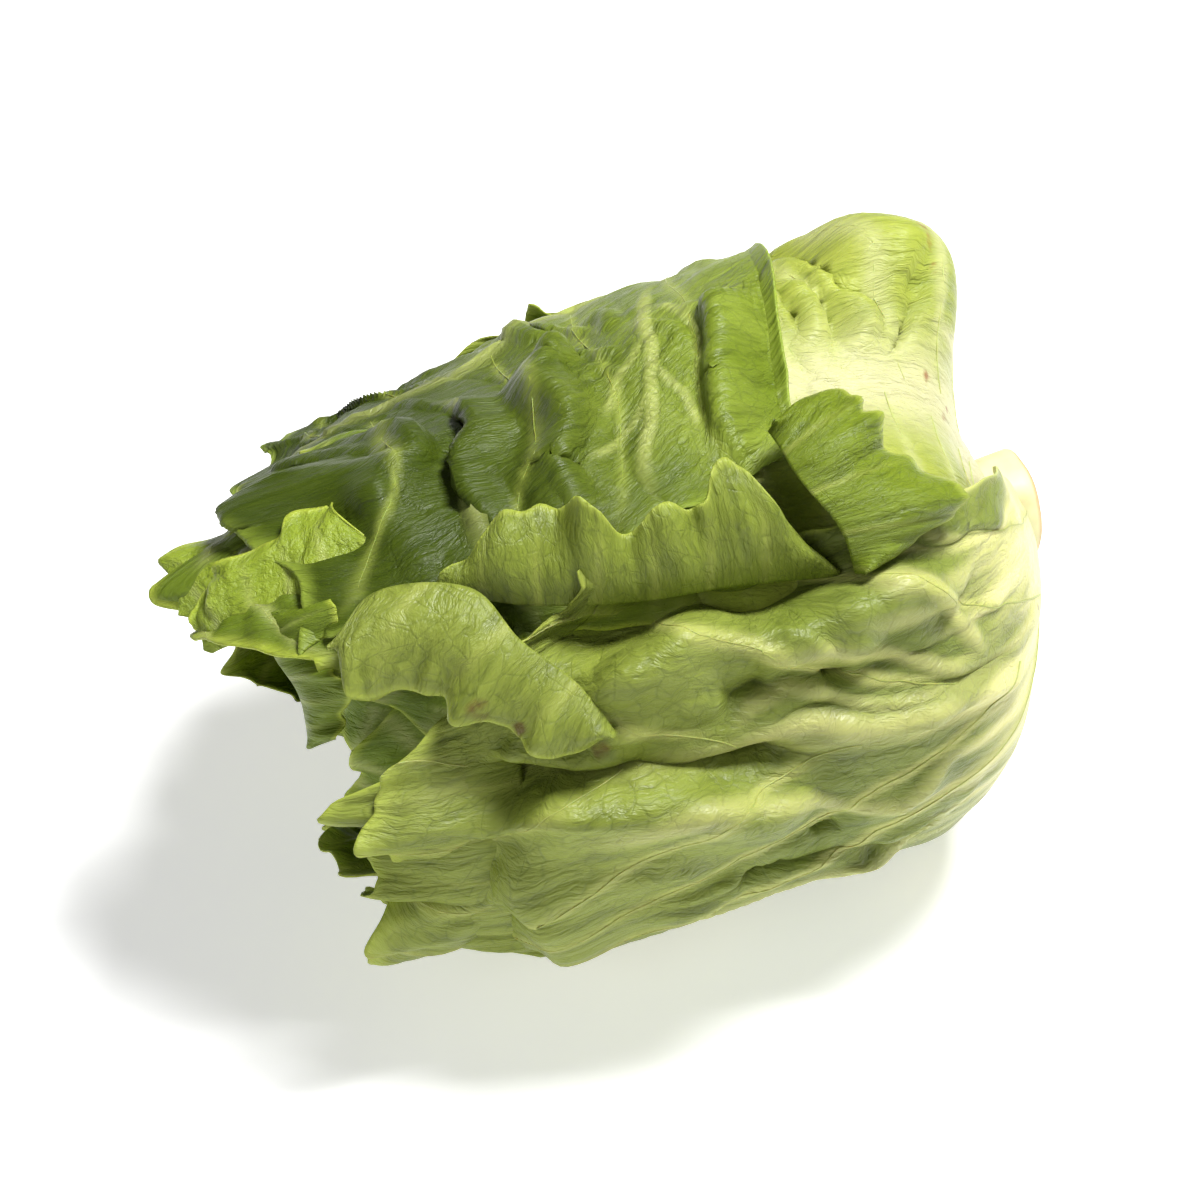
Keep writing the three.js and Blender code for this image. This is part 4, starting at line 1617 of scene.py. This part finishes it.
def heart_plans() -> list[LeafPlan]:
    """The heart: seven pairs of paler leaves, each pair deeper and turned on from the last.

    Returns:
        The leaves' plans, from the outermost pair inwards.
    """
    plans = []
    for pair in range(7):
        for half in (0, 1):
            number = 2 * pair + half + 1
            plans.append(LeafPlan(
                f"heart_leaf_{number}", "heart_leaf", 82.0 + 68.0 * pair + 180.0 * half, 0.0,
                21.0 + 6.5 * pair, 154.0 + 3.0 * pair - 4.0 * half, HEART_SIDE, HEART_SIDE, HEART_TIP,
                5.0, pair + half / 2.0,
                HEART_GRID, Venation(18.0, 1.2, 1.0, 0.8), 800 + 17 * number,
            ))
    return plans


@dataclass(frozen=True)
class StemFinish:
    """The stem's skin: cream flesh, browned on its cut face, with a bloom whose size is in mm."""

    name: str = "Cut stem"
    flesh: str = "#dcd9a8"
    cut: str = "#b98a55"
    bloom_size: float = 8.3333

    def material(self) -> bpy.types.Material:
        """Wet cream flesh with a rusty bloom, rough where it was cut.

        Returns:
            The material.
        """
        material = bpy.data.materials.new(self.name)
        material.use_nodes = True
        tree = material.node_tree
        tree.nodes.clear()
        place = add(tree, "ShaderNodeTexCoord").outputs["Object"]
        scale = 1.0 / (self.bloom_size * MILLIMETRE)
        broad = add(
            tree, "ShaderNodeTexNoise", {"Vector": place, "Scale": scale, "Detail": 4.0}
        ).outputs["Fac"]
        share = add(
            tree, "ShaderNodeMapRange", {"Value": broad, "From Min": 0.45, "From Max": 0.75}
        ).outputs["Result"]
        stain = add(tree, "ShaderNodeAttribute", attribute_name=STAIN).outputs["Fac"]
        amount = add(
            tree, "ShaderNodeMath", {0: share, 1: 0.3, 2: stain}, operation="MULTIPLY_ADD", use_clamp=True
        ).outputs[0]
        colour = add(
            tree,
            "ShaderNodeMix",
            {0: amount, 6: linear(self.flesh), 7: linear(self.cut)},
            data_type="RGBA",
        ).outputs[2]
        bump = add(
            tree, "ShaderNodeBump", {"Height": broad, "Strength": 0.5, "Distance": 0.0006}
        ).outputs["Normal"]
        skin = add(
            tree,
            "ShaderNodeBsdfPrincipled",
            {
                "Base Color": colour,
                "Roughness": 0.5,
                "Normal": bump,
                "Subsurface Weight": 0.2,
                "Subsurface Scale": 0.002,
            },
        )
        add(tree, "ShaderNodeOutputMaterial", {"Surface": skin.outputs["BSDF"]})
        return material


@dataclass(frozen=True)
class VesselFinish:
    """The cut ends of the stem's vessels: damp red-brown beads."""

    name: str = "Stem vessel"
    sap: str = "#8a4f2a"

    def material(self) -> bpy.types.Material:
        """Dried milk on the cut vessels, brown with a wet shine.

        Returns:
            The material.
        """
        material = bpy.data.materials.new(self.name)
        material.use_nodes = True
        tree = material.node_tree
        tree.nodes.clear()
        skin = add(
            tree, "ShaderNodeBsdfPrincipled", {"Base Color": linear(self.sap), "Roughness": 0.35}
        )
        add(tree, "ShaderNodeOutputMaterial", {"Surface": skin.outputs["BSDF"]})
        return material


@dataclass
class Stem:
    """The short stem: a tapered plug, cut across at the butt and rounded inside the head."""

    head: HeadForm
    centre: Vector
    cut_radius: float = STEM_CUT_RADIUS
    top_radius: float = STEM_TOP_RADIUS
    length: float = STEM_LENGTH
    proud: float = STEM_PROUD
    bevel: float = 1.8
    dish: float = 1.2
    stain: float = 0.75
    sides: int = 96
    shaft_rings: int = 24
    face_rings: int = 12
    noise_seed: int = 51
    ring_radius: float = 10.5
    vessels: int = 34
    vessel_size: float = 0.0008
    seed: int = 5

    def build(self) -> bpy.types.Object:
        """Turns the plug about its axis, with an uneven, slightly hollow cut face.

        Returns:
            The plug's piece.
        """
        cut = self.head.butt + self.proud
        turns = self._turns()
        noise = Crumple(self.noise_seed)
        profile = self._profile(cut)
        rings = []
        for x, radius in profile:
            wobble = noise.at(3.0 * np.cos(turns) + 9.0, 3.0 * np.sin(turns) + x / 30.0)
            uneven = radius * (1.0 - 0.03 * (1.0 + wobble))
            along = np.full_like(turns, x)
            rings.append(np.stack([along, uneven * np.cos(turns), uneven * np.sin(turns)], -1))
        points = np.concatenate(rings) * MILLIMETRE + np.array(self.centre)
        index = np.arange(len(points)).reshape(len(profile), self.sides)
        nearer, further = index[:-1], index[1:]
        quads = np.stack(
            [nearer, np.roll(nearer, -1, 1), np.roll(further, -1, 1), further], -1
        ).reshape(-1, 4)
        piece = mesh_piece("stem_plug", points, quads, StemFinish().material())
        stained = [self.stain if x > cut - 1.5 else 0.0 for x, _ in profile]
        values = np.repeat(np.array(stained, dtype=np.float32), self.sides)
        piece.data.attributes.new(STAIN, "FLOAT", "POINT").data.foreach_set("value", values)
        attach(piece, "root")
        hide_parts("stem")
        return piece

    def dress(self) -> bpy.types.Object:
        """Sets the ends of the stem's vessels in a ring on its cut face.

        Returns:
            The vessels' piece.
        """
        turns = self._turns()
        face = np.full_like(turns, self.head.butt + self.proud - 0.75)
        ring = np.stack([face, self.ring_radius * np.cos(turns), self.ring_radius * np.sin(turns)], -1)
        edges = [(i, (i + 1) % self.sides) for i in range(self.sides)]
        mesh = bpy.data.meshes.new("stem_vessels")
        mesh.from_pydata((ring * MILLIMETRE + np.array(self.centre)).tolist(), edges, [])
        carrier = bpy.data.objects.new("stem_vessels", mesh)
        bpy.context.collection.objects.link(carrier)
        values = {
            "Count": self.vessels,
            "Size": self.vessel_size,
            "Seed": self.seed,
            "Skin": VesselFinish().material(),
        }
        piece = grown(carrier, self._vessel_tree(), values)
        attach(piece, "root")
        return piece

    def _turns(self) -> np.ndarray:
        """The angles of the plug's sides, in radians."""
        return np.linspace(0.0, 2.0 * math.pi, self.sides, endpoint=False)

    def _profile(self, cut: float) -> list[tuple[float, float]]:
        """The plug's outline, from its inner end to the middle of its cut.

        Args:
            cut: The place of the cut face, in mm.

        Returns:
            Pairs of a place and a radius, in mm.
        """
        top = self.head.butt - self.length
        rim = self.cut_radius - self.bevel
        profile = [(top - 7.0, 0.02), (top - 6.4, 2.6), (top - 4.0, 5.0), (top, self.top_radius)]
        for step in range(1, self.shaft_rings + 1):
            share = step / self.shaft_rings
            profile.append((lerp(top, cut - 2.0, share), lerp(self.top_radius, self.cut_radius, share)))
        profile += [(cut - 0.8, self.cut_radius - 0.5), (cut, rim)]
        for step in range(1, self.face_rings + 1):
            share = step / self.face_rings
            profile.append((cut - self.dish * share**0.5, rim * (1.0 - share) + 0.02))
        return profile

    @staticmethod
    def _vessel_tree() -> bpy.types.NodeTree:
        """The node tree that strews small beads along a ring.

        Returns:
            A tree with the inputs Count, Size, Seed and Skin.
        """
        tree = node_tree(
            "Vessel ring",
            {
                "Count": "NodeSocketInt",
                "Size": "NodeSocketFloat",
                "Seed": "NodeSocketInt",
                "Skin": "NodeSocketMaterial",
            },
        )
        source = add(tree, "NodeGroupInput").outputs
        ring = add(tree, "GeometryNodeMeshToCurve", {"Mesh": source["Geometry"]}).outputs["Curve"]
        points = add(
            tree, "GeometryNodeCurveToPoints", {"Curve": ring, "Count": source["Count"]}
        ).outputs["Points"]
        stray = add(
            tree,
            "FunctionNodeRandomValue",
            {"Min": (0.0, -0.0012, -0.0012), "Max": (0.0, 0.0012, 0.0012), "Seed": source["Seed"]},
            data_type="FLOAT_VECTOR",
        ).outputs["Value"]
        strewn = add(
            tree, "GeometryNodeSetPosition", {"Geometry": points, "Offset": stray}
        ).outputs["Geometry"]
        size = add(
            tree, "FunctionNodeRandomValue", {2: 0.5, 3: 1.2, "Seed": source["Seed"]}, data_type="FLOAT"
        ).outputs[1]
        bead = add(tree, "GeometryNodeMeshUVSphere", {"Segments": 12, "Rings": 8, "Radius": source["Size"]})
        beads = add(
            tree,
            "GeometryNodeInstanceOnPoints",
            {"Points": strewn, "Instance": bead.outputs["Mesh"], "Scale": size},
        ).outputs["Instances"]
        whole = add(tree, "GeometryNodeRealizeInstances", {"Geometry": beads}).outputs["Geometry"]
        dressed = add(tree, "GeometryNodeSetMaterial", {"Geometry": whole, "Material": source["Skin"]})
        add(tree, "NodeGroupOutput", {0: dressed.outputs["Geometry"]})
        return tree


@dataclass(frozen=True)
class Lamp:
    """A soft square light: its place and size in metres and its power in watts."""

    name: str
    place: tuple[float, float, float]
    size: float
    power: float


@dataclass(frozen=True)
class Studio:
    """A pale floor, soft lights and the camera at the photograph's angle."""

    centre: Vector
    azimuth: float = -20.0
    elevation: float = 38.0
    distance: float = 1.2
    lens: float = 128.57
    sensor: float = 36.0
    aim_left: float = 0.02
    aim_down: float = 0.005
    ambient: float = 0.07
    floor_half: float = 4.0
    floor_level: float = -0.0004
    floor_grey: float = 0.93
    floor_glow: float = 0.5
    lamps: tuple[Lamp, ...] = (
        Lamp("Top", (0.36, -0.12, 1.25), 0.4, 26.0),
        Lamp("Front", (-0.9, -0.8, 0.8), 0.5, 3.0),
        Lamp("Side", (1.1, -0.5, 0.5), 0.4, 1.5),
    )

    def build(self) -> None:
        """Lays the floor, hangs the lights and sets up the camera."""
        self._floor()
        for lamp in self.lamps:
            self._light(lamp)
        world = bpy.data.worlds.new("Studio")
        world.use_nodes = True
        backdrop = world.node_tree.nodes["Background"]
        backdrop.inputs["Color"].default_value = WHITE
        backdrop.inputs["Strength"].default_value = self.ambient
        bpy.context.scene.world = world
        bpy.context.scene.view_settings.view_transform = "Standard"
        self._camera()

    def _floor(self) -> None:
        """A wide pale floor just below the head, with a glow that lightens the shadow on it."""
        material = bpy.data.materials.new("Pale floor")
        material.use_nodes = True
        shader = material.node_tree.nodes["Principled BSDF"]
        shader.inputs["Base Color"].default_value = (self.floor_grey, self.floor_grey, self.floor_grey, 1.0)
        shader.inputs["Roughness"].default_value = 0.8
        shader.inputs["Emission Color"].default_value = WHITE
        shader.inputs["Emission Strength"].default_value = self.floor_glow
        half, level = self.floor_half, self.floor_level
        sides = ((-half, -half), (half, -half), (half, half), (-half, half))
        corners = np.array([(x, y, level) for x, y in sides])
        mesh_piece("floor", corners, np.array([[0, 1, 2, 3]]), material)

    def _light(self, lamp: Lamp) -> None:
        """A soft square light that faces the head.

        Args:
            lamp: The light's place, size and power.
        """
        data = bpy.data.lights.new(lamp.name, "AREA")
        data.size = lamp.size
        data.energy = lamp.power
        light = bpy.data.objects.new(lamp.name, data)
        light.location = lamp.place
        light.rotation_euler = (self.centre - light.location).to_track_quat("-Z", "Y").to_euler()
        bpy.context.collection.objects.link(light)

    def _camera(self) -> None:
        """The camera, aimed a little left of and below the head's middle."""
        turn, lift = math.radians(self.azimuth), math.radians(self.elevation)
        back = Vector((math.sin(turn) * math.cos(lift), -math.cos(turn) * math.cos(lift), math.sin(lift)))
        right = Vector((math.cos(turn), math.sin(turn), 0.0))
        upward = back.cross(right)
        target = self.centre - right * self.aim_left - upward * self.aim_down
        data = bpy.data.cameras.new("Camera")
        data.lens = self.lens
        data.sensor_width = self.sensor
        camera = bpy.data.objects.new("Camera", data)
        camera.location = target + back * self.distance
        camera.rotation_euler = (-back).to_track_quat("-Z", "Y").to_euler()
        bpy.context.collection.objects.link(camera)
        bpy.context.scene.camera = camera


def head_centre(head: HeadForm) -> Vector:
    """Finds the head's centre in the row frame, from where the stem is.

    Args:
        head: The head's form.

    Returns:
        The centre, in metres.
    """
    low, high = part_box("stem")
    butt = (head.butt + STEM_PROUD) * MILLIMETRE
    return Vector((high.x - butt, (low.y + high.y) / 2.0, (low.z + high.z) / 2.0))


def report(piece: bpy.types.Object) -> None:
    """Logs a finished piece and how many faces it has."""
    LOG.info("%s: %d faces", piece.name, len(piece.data.polygons))


def main() -> None:
    """Builds the head, piece by piece, and the studio round it."""
    head = HeadForm()
    centre = head_centre(head)
    stem = Stem(head, centre)
    report(stem.build())
    report(stem.dress())
    for kind, plan in OUTER_LEAVES:
        leaf = Leaf(plan, head, kind, centre)
        report(leaf.build())
        report(leaf.dress())
    for plan in heart_plans():
        report(Leaf(plan, head, LeafKind.HEART, centre).build())
    Studio(centre).build()
    LOG.info("studio set")


if __name__ == "__main__":
    main()
